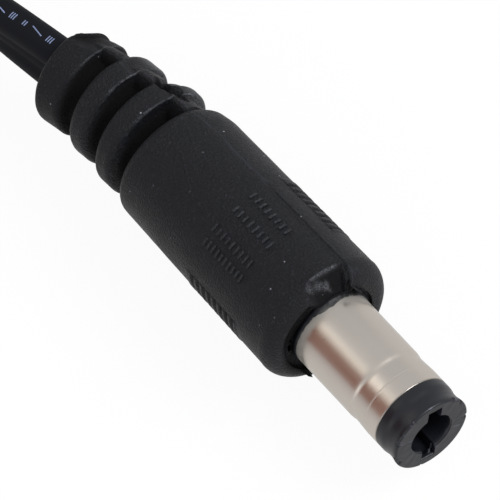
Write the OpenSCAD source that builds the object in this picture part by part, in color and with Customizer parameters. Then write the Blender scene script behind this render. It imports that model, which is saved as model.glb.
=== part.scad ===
// DC barrel plug: a nickel-plated barrel and its contact core, overmoulded in black
// plastic on a flat twin pigtail that is stored as a tied hank.
// The plug lies along X with its tip towards +X and rests on the plane z = 0.
// Inside the modules the shoulder of the moulding is x = 0 and the plug's axis is z = 0.

/* [Barrel] */
// Outside diameter of the metal barrel
barrel_d = 5.5; // [5.3:0.05:5.8]
// Wall of the barrel
barrel_wall = 0.3; // [0.2:0.05:0.4]
// Bare metal between the shoulder and the tip insulator
barrel_len = 8.05; // [6.5:0.05:10]
// Length of barrel held inside the moulding
barrel_embed = 4.2; // [3.6:0.1:5]
// Flare of the bare barrel between its root and the moat's floor
root_flare = 0.02; // [0.01:0.01:0.05]
// Rise of the anchoring collar inside the moulding above the barrel
collar_rise = 0.25; // [0.2:0.05:0.35]
// Rise of the rear flange above the barrel
flange_rise = 0.55; // [0.35:0.05:0.7]
// Thickness of the rear flange
flange_t = 0.35; // [0.25:0.05:0.5]
// Distance from the barrel's front end to the rolled groove
roll_back = 1.2; // [0.8:0.1:1.8]
// Width of the rolled groove
roll_w = 1.2; // [0.8:0.1:1.6]
// Depth of the rolled groove
roll_depth = 0.08; // [0.04:0.01:0.14]
// Share of the groove's depth left at its rear edge
roll_rear = 0.8; // [0.6:0.05:0.95]
// Rounding of the barrel's front end
barrel_lip = 0.12; // [0.06:0.02:0.2]

/* [Tip insulator] */
// Length of the insulator that stands proud of the barrel
tip_len = 1.95; // [1.4:0.05:2.6]
// Rounding of the insulator's front edge
tip_round = 0.16; // [0.08:0.02:0.3]
// Diameter of the mouth that takes the socket's pin
bore_d = 2.95; // [2.85:0.05:3.1]
// Length of the mouth
mouth_len = 3.3; // [2.8:0.1:3.5]
// Chamfer at the edge of the mouth
mouth_chamfer = 0.1; // [0.05:0.05:0.2]
// Diameter of the bore behind the mouth
pin_room_d = 2.6; // [2.4:0.05:2.6]
// Depth from the tip face to the floor of the bore
pin_depth = 9.5; // [9:0.1:10.2]
// Width of the slot that crosses the bore
slot_w = 1; // [0.9:0.02:1.04]
// Length of the slot across the bore
slot_span = 4.3; // [4:0.05:4.5]

/* [Contacts] */
// Thickness of the tuning-fork contact
contact_t = 0.8; // [0.6:0.05:0.85]
// Width of each tine
tine_w = 0.6; // [0.4:0.05:0.7]
// Gap between the tines at rest
tine_gap = 1.9; // [1.6:0.05:2.1]
// Depth from the tip face to the ends of the tines
tine_back = 3.6; // [3.55:0.05:4.5]
// Width of the shank that leads the fork to its wire
shank_w = 0.7; // [0.5:0.05:0.8]
// Thickness of the barrel's ring terminal
terminal_t = 0.4; // [0.3:0.05:0.5]
// Width of the ring terminal's tab
tab_w = 1.6; // [1.2:0.1:2]
// Diameter of the boss inside the ring terminal
boss_d = 2.6; // [2:0.1:2.6]
// Thickness of the rear insulating washer
washer_t = 0.5; // [0.3:0.1:0.8]
// Length of the tab and shank behind the washer
terminal_reach = 3.9; // [3.4:0.1:5]
// Length of each soldered joint
solder_len = 2.3; // [1.5:0.1:3]
// Diameter of each soldered joint
solder_d = 1.6; // [1.4:0.05:1.7]
// Film of solder between a wire and its terminal
solder_film = 0.06; // [0.03:0.01:0.1]
// Angle of the contact core, from the top towards +Y
core_roll = 31; // [0:1:60]

/* [Moulding] */
// Length of the moulded body
body_len = 16.4; // [15:0.1:22]
// Diameter of the body near its shoulder
body_front_d = 9.27; // [9:0.01:11]
// Diameter of the body at its rear end
body_rear_d = 8.62; // [8.4:0.01:9]
// Rounding of the shoulder's edge
front_fillet = 1.2; // [0.5:0.1:1.3]
// Rounding of the body's rear edge
rear_fillet = 0.7; // [0.3:0.1:0.9]
// Width of the moat round the barrel
moat_w = 0.35; // [0.25:0.05:0.5]
// Depth of the moat
moat_depth = 0.45; // [0.2:0.05:0.8]
// Grip grooves on each side
grip_count = 8; // [4:1:9]
// Spacing of the grip grooves
grip_pitch = 0.59; // [0.5:0.01:0.7]
// Distance from the shoulder to the first grip groove
grip_start = 4.1; // [3:0.1:6]
// Depth of the grip grooves
grip_depth = 0.24; // [0.1:0.02:0.35]
// Width of a grip groove at the surface
grip_w = 0.34; // [0.2:0.02:0.4]
// Half of the arc that each groove covers
grip_half_arc = 26; // [15:1:35]
// Angle of the mould's parting plane, from the top towards +Y
parting_angle = 46; // [0:1:90]
// How far the parting seam stands proud
seam_rise = 0.05; // [0.02:0.01:0.08]
// Half of the arc that the seam covers
seam_half_arc = 1.2; // [0.8:0.1:2]
// Angle of the cut-off gate at the shoulder, from the top towards +Y
gate_angle = 28; // [0:1:40]
// Width of the gate
gate_w = 2.5; // [1.5:0.1:3.5]
// Length that the gate cuts back from the shoulder
gate_back = 1.1; // [0.6:0.1:1.6]
// Height that the gate leaves above the barrel
gate_foot = 0.6; // [0.4:0.05:1]

/* [Strain relief] */
// Number of ribs on the strain relief
rib_count = 3; // [2:1:5]
// Diameter of the rib next to the body
first_rib_d = 8; // [7.4:0.05:8.4]
// Diameter of the last rib
last_rib_d = 6.66; // [6:0.02:7.2]
// Length of each rib but the last
rib_len = 1.75; // [1.4:0.05:2.4]
// Length of the last rib
last_rib_len = 2.4; // [1.8:0.1:3.2]
// Rounding of the ribs' edges
rib_fillet = 0.35; // [0.15:0.05:0.6]
// Width of the slots between the ribs
relief_slot = 1.25; // [0.8:0.05:1.6]
// Diameter of the core that the slots leave
relief_core_d = 5; // [4.8:0.1:5.4]
// Angle of the two webs that join the ribs, from the top towards +Y
web_angle = 48; // [0:1:90]
// Half of the arc that each web covers
web_half_arc = 9; // [5:1:16]
// How far the webs lie below the ribs
web_drop = 0.15; // [0.05:0.05:0.4]
// Radius on which the relief is bent sideways
bend_r = 49; // [40:1:120]
// Distance that the bend starts inside the body
bend_inset = 0.5; // [0:0.1:1.5]

/* [Cable] */
// Diameter of one insulated core of the twin
core_d = 2.2; // [2:0.05:2.3]
// Spacing of the two cores
core_pitch = 2.1; // [1.9:0.05:2.15]
// Diameter of a core's copper strands
strand_d = 1; // [0.7:0.05:1.1]
// Bare strands between the washer and the insulation
strip_len = 4.5; // [4:0.1:6]
// Radius of the hank's end loops
loop_r = 13; // [12:0.5:16]
// Spacing of the hank's runs at its waist
run_pitch = 2.3; // [2.25:0.05:2.6]
// Straight length of the hank's waist
waist_len = 5; // [4.5:0.5:8]
// Width of the tie
tie_w = 3; // [2:0.5:3.5]
// Thickness of the tie
tie_t = 0.4; // [0.2:0.05:0.6]
// Length of the split cores at the free end
split_len = 7; // [5:0.5:12]
// Radius on which the split cores part
split_r = 27; // [18:1:40]
// Length of the bare tinned strands at the free end
tinned_len = 4; // [3:0.5:8]

/* [Hidden] */
$fn = 96;

// Stations along the axis
tip_x = barrel_len + tip_len;
barrel_back = -barrel_embed;
terminal_back = barrel_back - terminal_t;
washer_back = terminal_back - washer_t;
terminal_end = washer_back - terminal_reach;
bore_floor = tip_x - pin_depth;
tine_x = tip_x - tine_back;
strand_gap = 0.3;
strand_front = washer_back - strand_gap;
solder_front = strand_front - strand_gap;
insulation_front = washer_back - strip_len;

// Radii
barrel_r = barrel_d / 2;
insulator_r = barrel_r - barrel_wall;
flange_r = barrel_r + flange_rise;
moat_r = barrel_r + moat_w;
washer_r = insulator_r;
core_r = core_d / 2;
strand_r = strand_d / 2;
cable_w = core_pitch + core_d;

// The strands lie beside the shank's edge and under the tab
wire_z = core_pitch / 2;
shank_low = strand_r - wire_z + solder_film;
tab_z = wire_z + strand_r + solder_film;

// The boss stays inside the tab, so the tab ends on the ring
boss_gap = 0.1;
boss_r = min(boss_d / 2, tab_z - boss_gap);

// The relief's stations are lengths along its bent centreline
bend_x = bend_inset - body_len;
relief_len = rib_count * relief_slot + (rib_count - 1) * rib_len + last_rib_len;
relief_end = bend_inset + relief_len;
bend_angle = bend_turn(relief_end);
exit_at = bend_point(relief_end);
seam_in = 0.4;
web_root = 0.4;
web_lap = 0.3;

// The origin is below the middle of the plug's own length
rear_corner = (last_rib_d / 2 - rib_fillet) * sin(bend_angle) + rib_fillet * (1 - cos(bend_angle));
plug_back = exit_at[0] - rear_corner;
origin_x = -(tip_x + plug_back) / 2;
axis_z = body_front_d / 2;

// The lead's route: distance behind the exit, distance towards -Y, share of the drop to
// the table and share of the turn that sets the twin on its edge
route = [[0, 0, 0, 0], [2, 0.29, 0.02, 0.08], [4, 0.58, 0.08, 0.2], [6, 0.86, 0.2, 0.35],
         [8, 1.12, 0.42, 0.55], [10, 1.32, 0.68, 0.75], [12, 1.44, 0.88, 0.9],
         [14, 1.5, 0.98, 0.98], [16, 1.5, 1, 1]];
exit_pos = [origin_x + exit_at[0], exit_at[1], axis_z];
lead = [for (p = route)
    [exit_pos[0] - p[0], exit_pos[1] - p[1], axis_z + (cable_w / 2 - axis_z) * p[2]]];
lead_roll = [for (p = route) core_roll * (1 - p[3])];
lead_end = lead[len(lead) - 1];

// The hank: three runs side by side at the waist, with a loop at each end
half_pitch = run_pitch / 2;
waist_w = 2 * run_pitch + core_d;
sway = acos(1 - (loop_r - half_pitch) / (2 * loop_r));
sway_len = 2 * loop_r * sin(sway);
loop_u = loop_r + core_r;
hank_len = 2 * (loop_u + sway_len) + waist_len;
hank_y = lead_end[1] + loop_r + half_pitch;
tail_pos = [lead_end[0] - hank_len, hank_y + loop_r + half_pitch, core_r];

function arc(cx, cy, r, a0, a1, n = 10) =
    [for (i = [0:n]) let (a = a0 + (a1 - a0) * i / n) [cx + r * cos(a), cy + r * sin(a)]];

function bend_turn(s) = s / bend_r * 180 / PI;

// Point of the relief's centreline at length s behind the start of the bend
function bend_point(s) =
    [bend_x - bend_r * sin(bend_turn(s)), -bend_r * (1 - cos(bend_turn(s)))];

// Radius of the body's tapered side at station x
function body_r(x) = (body_front_d + (body_rear_d - body_front_d) * -x / body_len) / 2;

function rib_d(i) = first_rib_d + (last_rib_d - first_rib_d) * i / (rib_count - 1);
function rib_size(i) = i < rib_count - 1 ? rib_len : last_rib_len;
function rib_at(i) = bend_inset + (i + 1) * relief_slot + i * rib_len;

// Puts the plug's own frame on the table
module on_table() { translate([origin_x, 0, axis_z]) children(); }

// Turns the frame of the contact core about the axis
module in_core() { rotate([-core_roll, 0, 0]) children(); }

// Revolves a profile of [radius, station] points about the plug's axis
module revolved() { rotate([0, 90, 0]) rotate_extrude() children(); }

// Revolves a profile through an arc centred at an angle from the top towards +Y
module sector(angle, half) {
    rotate([0, 90, 0]) rotate([0, 0, 180 - angle - half]) rotate_extrude(angle = 2 * half) children();
}

// A round rod along the axis direction, from x0 to x1
module rod(r, x0, x1) { translate([x0, 0, 0]) rotate([0, 90, 0]) cylinder(r = r, h = x1 - x0); }

// Carries its children to length s along the bent relief
module at_bend(s) {
    translate([bend_point(s)[0], bend_point(s)[1], 0]) rotate([0, 0, bend_turn(s)]) children();
}

// Sweeps a section from station x in the body to length s behind the start of the bend
module bent(x, s = relief_end) {
    translate([bend_x, 0, 0]) rotate([90, 0, 90]) linear_extrude(height = x - bend_x) children();
    translate([bend_x, -bend_r, 0]) rotate([0, 0, 90])
        rotate_extrude(angle = bend_turn(s)) translate([bend_r, 0]) children();
}

// A wire's section: side is 1 for the sleeve's wire and -1 for the centre's
module wire(side, r) { translate(side * wire_z * [sin(core_roll), cos(core_roll)]) circle(r = r); }

// Profile of the barrel's outside or inside, with the rolled groove
function rolled(r, front) =
    let (a = front - roll_back, b = a - roll_w, ease = roll_w / 6)
    [[r, a], [r - roll_depth / 2, a - ease / 2], [r - roll_depth, a - ease],
     [r - roll_rear * roll_depth, b + 2 * ease], [r - roll_rear * roll_depth / 2, b + ease], [r, b]];

module barrel_outline() {
    polygon(concat(
        [[0, barrel_len]],
        arc(barrel_r - barrel_lip, barrel_len - barrel_lip, barrel_lip, 90, 0, 6),
        rolled(barrel_r, barrel_len),
        [[barrel_r, 0], [barrel_r + root_flare, -moat_depth],
         [barrel_r + collar_rise, -moat_depth], [barrel_r + collar_rise, barrel_back + flange_t],
         [flange_r, barrel_back + flange_t], [flange_r, barrel_back], [0, barrel_back]]));
}

module insulator_outline() {
    polygon(concat(
        [[0, tip_x]],
        arc(barrel_r - tip_round, tip_x - tip_round, tip_round, 90, 0, 6),
        [[barrel_r, barrel_len], [insulator_r, barrel_len]],
        rolled(insulator_r, barrel_len),
        [[insulator_r, barrel_back], [boss_r, barrel_back],
         [boss_r, terminal_back], [0, terminal_back]]));
}

module barrel_sleeve() {
    color([0.73, 0.70, 0.66]) on_table() revolved() difference() {
        barrel_outline();
        polygon(concat([[0, barrel_len + 1], [insulator_r, barrel_len + 1]],
            rolled(insulator_r, barrel_len), [[insulator_r, barrel_back - 1], [0, barrel_back - 1]]));
    }
}

// The shank of the centre contact, as its own space in the pieces that it passes
module shank_space(front) {
    translate([terminal_end, -contact_t / 2, shank_low]) cube([front - terminal_end, contact_t, shank_w]);
}

module tip_insulator() {
    color([0.10, 0.10, 0.11]) on_table() difference() {
        revolved() insulator_outline();
        revolved() polygon([[0, tip_x + 1], [bore_d / 2 + mouth_chamfer + 1, tip_x + 1],
            [bore_d / 2 + mouth_chamfer, tip_x], [bore_d / 2, tip_x - mouth_chamfer],
            [bore_d / 2, tip_x - mouth_len], [0, tip_x - mouth_len]]);
        rod(pin_room_d / 2, bore_floor, tip_x);
        in_core() {
            translate([bore_floor, -slot_w / 2, -slot_span / 2]) cube([pin_depth + 1, slot_w, slot_span]);
            shank_space(tip_x);
        }
    }
}

module centre_contact() {
    fork_h = tine_gap + 2 * tine_w;
    root = 0.6;
    lead_in = 0.25;
    color([0.80, 0.66, 0.36]) on_table() in_core() {
        rotate([90, 0, 0]) linear_extrude(height = contact_t, center = true) difference() {
            union() {
                translate([bore_floor, -fork_h / 2]) square([tine_x - bore_floor, fork_h]);
                translate([terminal_end, shank_low]) square([bore_floor - terminal_end, shank_w]);
            }
            translate([bore_floor + root + tine_gap / 2, 0]) circle(d = tine_gap);
            translate([bore_floor + root + tine_gap / 2, -tine_gap / 2]) square([pin_depth, tine_gap]);
            for (side = [-1, 1])
                polygon([[tine_x + 1, side * (tine_gap / 2 - 1)], [tine_x + 1, side * (tine_gap / 2 + lead_in)],
                    [tine_x, side * (tine_gap / 2 + lead_in)], [tine_x - 2 * lead_in, side * tine_gap / 2],
                    [tine_x - 2 * lead_in, side * (tine_gap / 2 - 1)]]);
        }
    }
}

module tab_space() {
    translate([terminal_end, -tab_w / 2, tab_z]) cube([terminal_back - terminal_end, tab_w, terminal_t]);
}

module ring_terminal() {
    color([0.78, 0.64, 0.36]) on_table() {
        difference() {
            rod(flange_r, terminal_back, barrel_back);
            rod(boss_r, terminal_back - 1, barrel_back + 1);
        }
        in_core() tab_space();
    }
}

module rear_washer() {
    color([0.16, 0.16, 0.16]) on_table() difference() {
        rod(washer_r, washer_back, terminal_back);
        in_core() {
            shank_space(tip_x);
            tab_space();
        }
    }
}

module wire_rod(side, r, x0, x1) { in_core() translate([0, 0, side * wire_z]) rod(r, x0, x1); }

module solder_centre() {
    color([0.70, 0.71, 0.72]) on_table() difference() {
        wire_rod(-1, solder_d / 2, solder_front - solder_len, solder_front);
        wire_rod(-1, strand_r, terminal_end - 1, tip_x);
        in_core() shank_space(tip_x);
    }
}

module solder_sleeve() {
    color([0.70, 0.71, 0.72]) on_table() difference() {
        wire_rod(1, solder_d / 2, solder_front - solder_len, solder_front);
        wire_rod(1, strand_r, terminal_end - 1, tip_x);
        in_core() tab_space();
    }
}

module strands_centre() { color([0.72, 0.45, 0.30]) on_table() bent(strand_front) wire(-1, strand_r); }
module strands_sleeve() { color([0.72, 0.45, 0.30]) on_table() bent(strand_front) wire(1, strand_r); }

module core_insulation() {
    color([0.08, 0.08, 0.08]) on_table() bent(insulation_front) difference() {
        union() {
            wire(-1, core_r);
            wire(1, core_r);
        }
        wire(-1, strand_r);
        wire(1, strand_r);
    }
}

// The space that the barrel, the contact core and the wires take in the moulding
module held_space() {
    revolved() barrel_outline();
    rod(flange_r, terminal_back, barrel_back);
    rod(washer_r, washer_back, terminal_back);
    in_core() {
        shank_space(barrel_back);
        tab_space();
    }
    for (side = [-1, 1]) {
        wire_rod(side, solder_d / 2, solder_front - solder_len, solder_front);
        bent(strand_front) wire(side, strand_r);
    }
    bent(insulation_front, relief_end + 1) {
        wire(-1, core_r);
        wire(1, core_r);
    }
}

module body_outline() {
    polygon(concat(
        [[0, 0]],
        arc(body_front_d / 2 - front_fillet, -front_fillet, front_fillet, 90, 0),
        arc(body_rear_d / 2 - rear_fillet, rear_fillet - body_len, rear_fillet, 0, -90),
        [[0, -body_len]]));
}

// A rib from x = 0 back to x = -size
module rib(d, size) {
    revolved() polygon(concat(
        [[0, 0]],
        arc(d / 2 - rib_fillet, -rib_fillet, rib_fillet, 90, 0, 6),
        arc(d / 2 - rib_fillet, rib_fillet - size, rib_fillet, 0, -90, 6),
        [[0, -size]]));
}

module strain_relief() {
    bent(bend_x + 1, relief_end - last_rib_len / 2) circle(d = relief_core_d);
    for (i = [0:rib_count - 1]) {
        at_bend(rib_at(i) + rib_size(i)) translate([rib_size(i), 0, 0]) rib(rib_d(i), rib_size(i));
        at_bend(rib_at(i) - relief_slot / 2) for (angle = [web_angle, web_angle + 180])
            sector(angle, web_half_arc)
                translate([relief_core_d / 2 - web_root, -relief_slot / 2 - web_lap])
                    square([rib_d(i) / 2 - web_drop - relief_core_d / 2 + web_root, relief_slot + 2 * web_lap]);
    }
}

// The raised line along the body where the two halves of the mould met
module parting_seam() {
    for (angle = [parting_angle, parting_angle + 180])
        sector(angle, seam_half_arc) polygon([
            [body_r(-front_fillet) - seam_in, -front_fillet], [body_r(-front_fillet) + 0, -front_fillet],
            [body_r(-2 * front_fillet) + seam_rise, -2 * front_fillet],
            [body_r(-body_len / 2) + seam_rise, -body_len / 2],
            [body_r(-body_len + rear_fillet), rear_fillet - body_len],
            [body_r(-body_len + rear_fillet) - seam_in, rear_fillet - body_len]]);
}

module grip_grooves() {
    for (side = [-90, 90])
        sector(side, grip_half_arc)
            for (i = [0:grip_count - 1])
                let (x = -grip_start - i * grip_pitch, r = body_r(x))
                polygon([[r + 0.3, x + grip_w * 0.8], [r - grip_depth, x + grip_w / 6],
                    [r - grip_depth, x - grip_w / 6], [r + 0.3, x - grip_w * 0.8]]);
}

// The slope left where the moulding gate was cut away
module gate_cut() {
    rotate([-gate_angle, 0, 0]) rotate([90, 0, 0]) linear_extrude(height = gate_w, center = true)
        polygon([[-gate_back, body_front_d / 2], [0, barrel_r + gate_foot],
            [1, barrel_r + gate_foot], [1, body_front_d], [-gate_back, body_front_d]]);
}

module overmould() {
    color([0.11, 0.11, 0.12]) on_table() difference() {
        union() {
            revolved() body_outline();
            strain_relief();
            parting_seam();
        }
        held_space();
        rod(moat_r, -moat_depth, 1);
        grip_grooves();
        gate_cut();
    }
}

// One ring of the lead's section, an oval with eight corners square to the route
function ring(i) =
    let (last = len(lead) - 1,
         t0 = i == 0 ? [-cos(bend_angle), -sin(bend_angle), 0]
            : i == last ? [-1, 0, 0] : lead[i + 1] - lead[i - 1],
         t = t0 / norm(t0), up = [0, sin(lead_roll[i]), cos(lead_roll[i])],
         w0 = up - (up * t) * t, w = w0 / norm(w0), n = cross(t, w),
         a = cable_w / 2, b = a - core_r * 0.6, c = core_r, e = core_r / 2)
    [for (q = [[a, e], [b, c], [-b, c], [-a, e], [-a, -e], [-b, -c], [b, -c], [a, -e]])
        lead[i] + q[0] * w + q[1] * n];

module cable() {
    sides = 8;
    rings = len(lead);
    points = [for (i = [0:rings - 1]) each ring(i)];
    skin = [for (i = [0:rings - 2], k = [0:sides - 1])
        [i * sides + k, i * sides + (k + 1) % sides, (i + 1) * sides + (k + 1) % sides, (i + 1) * sides + k]];
    front = [[for (k = [0:sides - 1]) sides - 1 - k]];
    back = [[for (k = [0:sides - 1]) (rings - 1) * sides + k]];
    color([0.09, 0.09, 0.10]) polyhedron(points = points, faces = concat(skin, front, back));
}

// The outline of half the hank, from its waist to its far end and back to the waist
function hank_half() =
    let (u0 = hank_len / 2 + waist_len / 2, u1 = u0 + sway_len, r = loop_r, p = run_pitch, h = core_r)
    concat(
        arc(u0, -p - r, r - h, 90, 90 - sway, 6),
        arc(u1, -half_pitch, r + h, -90 - sway, 0, 14),
        [[hank_len, half_pitch + r + h]],
        arc(u1, -half_pitch, r + p + h, 90, 90 + sway, 6),
        arc(u0, r, r - p - h, sway - 90, -90, 6));

// Moves a shape drawn in the hank's own plane behind the end of the lead
module at_hank() { translate([lead_end[0], hank_y, 0]) mirror([1, 0, 0]) children(); }

module waist_block(length, width, height, z) {
    translate([(hank_len - length) / 2, -width / 2, z]) cube([length, width, height]);
}

module cable_hank() {
    half = hank_half();
    other = [for (p = half) [hank_len - p[0], -p[1]]];
    lifted = tie_w + 1;
    color([0.09, 0.09, 0.10]) at_hank() {
        difference() {
            linear_extrude(height = cable_w) polygon(concat(half, other));
            waist_block(lifted, waist_w + 2, cable_w + 2, -1);
        }
        waist_block(lifted, waist_w, cable_w, tie_t);
    }
}

module hank_tie() {
    color([0.85, 0.85, 0.83]) at_hank() difference() {
        waist_block(tie_w, waist_w + 2 * tie_t, cable_w + 2 * tie_t, 0);
        waist_block(tie_w + 1, waist_w, cable_w, tie_t);
    }
}

// A rod of length len that leaves the hank's tail along an arc on one side
module split_rod(side, r, len) {
    turn = len / split_r * 180 / PI;
    translate(tail_pos) mirror([0, side < 0 ? 1 : 0, 0]) translate([0, split_r + core_r, 0])
        rotate([0, 0, -90]) mirror([0, 1, 0])
            rotate_extrude(angle = turn) translate([split_r, 0]) circle(r = r);
}

module end_core(side) {
    color([0.09, 0.09, 0.10]) difference() {
        split_rod(side, core_r, split_len);
        split_rod(side, strand_r, split_len);
    }
}

module end_strands(side) { color([0.70, 0.70, 0.70]) split_rod(side, strand_r, split_len + tinned_len); }

module end_core_centre() { end_core(-1); }
module end_core_sleeve() { end_core(1); }
module end_strands_centre() { end_strands(-1); }
module end_strands_sleeve() { end_strands(1); }

overmould();
barrel_sleeve();
tip_insulator();
centre_contact();
ring_terminal();
rear_washer();
solder_centre();
solder_sleeve();
strands_centre();
strands_sleeve();
core_insulation();
cable();
cable_hank();
hank_tie();
end_core_centre();
end_core_sleeve();
end_strands_centre();
end_strands_sleeve();
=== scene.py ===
"""DC barrel plug on its moulded two-core lead.

Laid out as a Blender add-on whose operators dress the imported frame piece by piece. Unless a line says otherwise,
lengths are in millimetres in the plug's own frame: x runs from the moulding's shoulder towards the tip, t is the
distance behind the shoulder, and angles are in degrees about the plug's axis, from the top towards +Y.
"""

import math

import bmesh
import bpy
from bpy.props import FloatProperty, FloatVectorProperty, IntProperty, PointerProperty
from mathutils import Matrix, Vector, noise


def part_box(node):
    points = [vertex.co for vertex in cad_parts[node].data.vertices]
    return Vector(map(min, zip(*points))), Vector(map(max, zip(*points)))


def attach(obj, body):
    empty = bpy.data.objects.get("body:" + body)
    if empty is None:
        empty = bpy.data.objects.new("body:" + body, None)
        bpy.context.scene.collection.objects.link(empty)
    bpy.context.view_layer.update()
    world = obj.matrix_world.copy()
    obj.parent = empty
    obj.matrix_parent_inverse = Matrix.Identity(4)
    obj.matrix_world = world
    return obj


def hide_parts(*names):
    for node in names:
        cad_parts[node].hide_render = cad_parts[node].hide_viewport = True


bl_info = {
    "name": "DC barrel plug",
    "version": (1, 0, 0),
    "blender": (4, 5, 0),
    "location": "View3D > Sidebar > Barrel plug",
    "description": "Dresses a moulded DC barrel plug and its lead",
    "category": "Object",
}

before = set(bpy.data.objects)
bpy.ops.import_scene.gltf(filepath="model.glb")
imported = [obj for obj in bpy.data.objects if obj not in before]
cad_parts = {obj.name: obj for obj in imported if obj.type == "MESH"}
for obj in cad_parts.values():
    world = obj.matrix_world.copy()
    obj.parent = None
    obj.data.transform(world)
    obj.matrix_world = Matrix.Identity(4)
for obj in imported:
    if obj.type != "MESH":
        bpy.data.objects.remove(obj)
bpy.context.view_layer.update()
MM = 0.001
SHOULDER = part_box("overmould")[1].x / MM
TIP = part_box("tip_insulator")[1].x / MM - SHOULDER
AXIS_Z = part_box("overmould")[1].z / 2 / MM
LEAD_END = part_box("cable")[0].x / MM

# Angles of the parting line, the webs, the trimmed gate, the fork's slot and the open side of the moat
SEAM = 45.5
WEB = 48
GATE = 28
FORK_ROLL = 31
OPEN_MOAT = 291

# Sleeve and insulator, before and behind the shoulder
SLEEVE_FRONT = 8.05
SLEEVE_WALL = 0.3
BURIED = 4.2
BAND_FRONT, BAND_BACK = SLEEVE_FRONT - 1.2, SLEEVE_FRONT - 2.4

# Moulding: roundings of the body, finger grooves, and the relief's slots and (width, radius) of each rib
FRONT_ROUNDING, REAR_ROUNDING = 1.2, 0.7
MOAT_WIDTH, MOAT_DEPTH = 0.35, 0.45
GRIP_START, GRIP_PITCH = 4.1, 0.59
RELIEF_CORE = 2.42
RIB_SLOT = 1.25
RIBS = [(1.75, 4.0), (1.75, 3.67), (2.4, 3.33)]

# Torn voids: distance behind the body, angle from the web, depth, half length and half width
VOIDS = ((2.45, 0, 1.3, 0.85, 0.62), (1.2, 2, 0.85, 0.7, 0.4), (1.75, 5, 0.5, 0.5, 0.36))

# Lead: straight stretch at each end of the hank, and the parted and bared lengths at the free end
HANK_LEAD_IN = 14.1
SPLIT_LEN, BARE_LEN, SPLIT_R = 7.0, 4.0, 27.0

# Camera: the middle of its view, its tilt and roll in degrees, and the width that it sees.
VIEW_CENTRE = (TIP - 17.8, -0.37, 0)
VIEW_TILT = 61.44
VIEW_ROLL = 43.2
VIEW_WIDTH = 30.79
CARD_DISTANCE = 0.32  # in metres


class PlugSizes(bpy.types.PropertyGroup):
    """Sizes of the plug in millimetres"""

    barrel_d: FloatProperty(name="Barrel diameter", description="Outside of the sleeve", default=5.5, min=4, max=7)
    bore_d: FloatProperty(name="Bore diameter", description="Mouth of the tip", default=2.95, min=2, max=3.2)
    body_front_d: FloatProperty(name="Front diameter", description="Body at its front", default=9.27, min=8, max=11)
    body_rear_d: FloatProperty(name="Rear diameter", description="Body at its rear", default=8.62, min=7, max=10)
    body_len: FloatProperty(name="Body length", description="Without the relief", default=16.4, min=12, max=24)
    rib_fillet: FloatProperty(name="Rib rounding", description="Edges of the ribs", default=0.56, min=0.1, max=0.7)
    grip_depth: FloatProperty(name="Grip depth", description="Finger grooves", default=0.3, min=0.05, max=0.4)
    grip_count: IntProperty(name="Grip grooves", description="Grooves on each side", default=8, min=2, max=12)
    bend_r: FloatProperty(name="Bend radius", description="Bend of the relief", default=49, min=30, max=200)


class LeadSizes(bpy.types.PropertyGroup):
    """Sizes of the twin lead in millimetres"""

    core_d: FloatProperty(name="Core diameter", description="One insulated core", default=2.2, min=1, max=4)
    core_pitch: FloatProperty(name="Core pitch", description="Between the cores' centres", default=2.1, min=1, max=4)
    loop_r: FloatProperty(name="Fold radius", description="Folds of the hank", default=13, min=8, max=30)
    run_pitch: FloatProperty(name="Run pitch", description="Between the runs at the tie", default=2.3, min=2, max=4)
    waist_len: FloatProperty(name="Waist length", description="Straight under the tie", default=5, min=3, max=10)


RGB = {"size": 3, "min": 0, "max": 1}


class PlugFinish(bpy.types.PropertyGroup):
    """Colours and finishes"""

    plastic: FloatVectorProperty(
        name="Moulding", description="Soft black moulding", subtype="COLOR", default=(0.0040, 0.0044, 0.0060), **RGB
    )
    tip: FloatVectorProperty(
        name="Tip", description="Hard black tip", subtype="COLOR", default=(0.0076, 0.0083, 0.0115), **RGB
    )
    nickel: FloatVectorProperty(
        name="Nickel", description="Satin nickel plating", subtype="COLOR", default=(0.605, 0.552, 0.492), **RGB
    )
    print_tint: FloatVectorProperty(
        name="Lead marks", description="Marks on the lead", subtype="COLOR", default=(0.16, 0.2, 0.33), **RGB
    )
    backdrop: FloatProperty(name="Floor white", description="Strength of the floor", default=1.0, min=0, max=1)


def clamp(x, lo=0.0, hi=1.0):
    return max(lo, min(hi, x))


def ease(a, b, x):
    """A smooth step from 0 at a to 1 at b, where b may be the lesser of the two"""
    t = clamp((x - a) / (b - a))
    return t * t * (3 - 2 * t)


def bell(x, width):
    """1 at x = 0, falling away over about width on both sides"""
    return math.exp(-((x / width) ** 2))


def off_angle(a, b):
    """How far angle a is from b, in degrees from -180 to 180"""
    return (a - b + 180) % 360 - 180


def off_arc(a, b, r):
    """How far angle a is from b, as a length at radius r"""
    return off_angle(a, b) * math.pi / 180 * r


def wander(p, size, seed=0.0):
    """Smooth noise from about -1 to 1"""
    return noise.noise(Vector((p[0] / size + seed, p[1] / size - seed, p[2] / size + 2 * seed)))


def in_frame(p):
    """A point in the plug's own frame as one in the row frame, in metres"""
    return Vector(((p[0] + SHOULDER) * MM, p[1] * MM, (p[2] + AXIS_Z) * MM))


def polar(x, r, angle):
    a = math.radians(angle)
    return (x, r * math.sin(a), r * math.cos(a))


def spaced(a, b, step):
    """Even stops after a, up to and including b"""
    n = max(1, round(abs(b - a) / step))
    return [a + (b - a) * i / n for i in range(1, n + 1)]


# Meshes


def spun_tube(rows, steps):
    """A tube of unit radius along X with one row of vertices at each whole number, ready to be shaped"""
    bm = bmesh.new()
    line = [bm.verts.new((row, 0, 1)) for row in range(rows)]
    edges = [bm.edges.new(pair) for pair in zip(line, line[1:])]
    bmesh.ops.spin(
        bm, geom=line + edges, cent=(0, 0, 0), axis=(1, 0, 0), angle=2 * math.pi, steps=steps, use_merge=True
    )
    return bm


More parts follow.
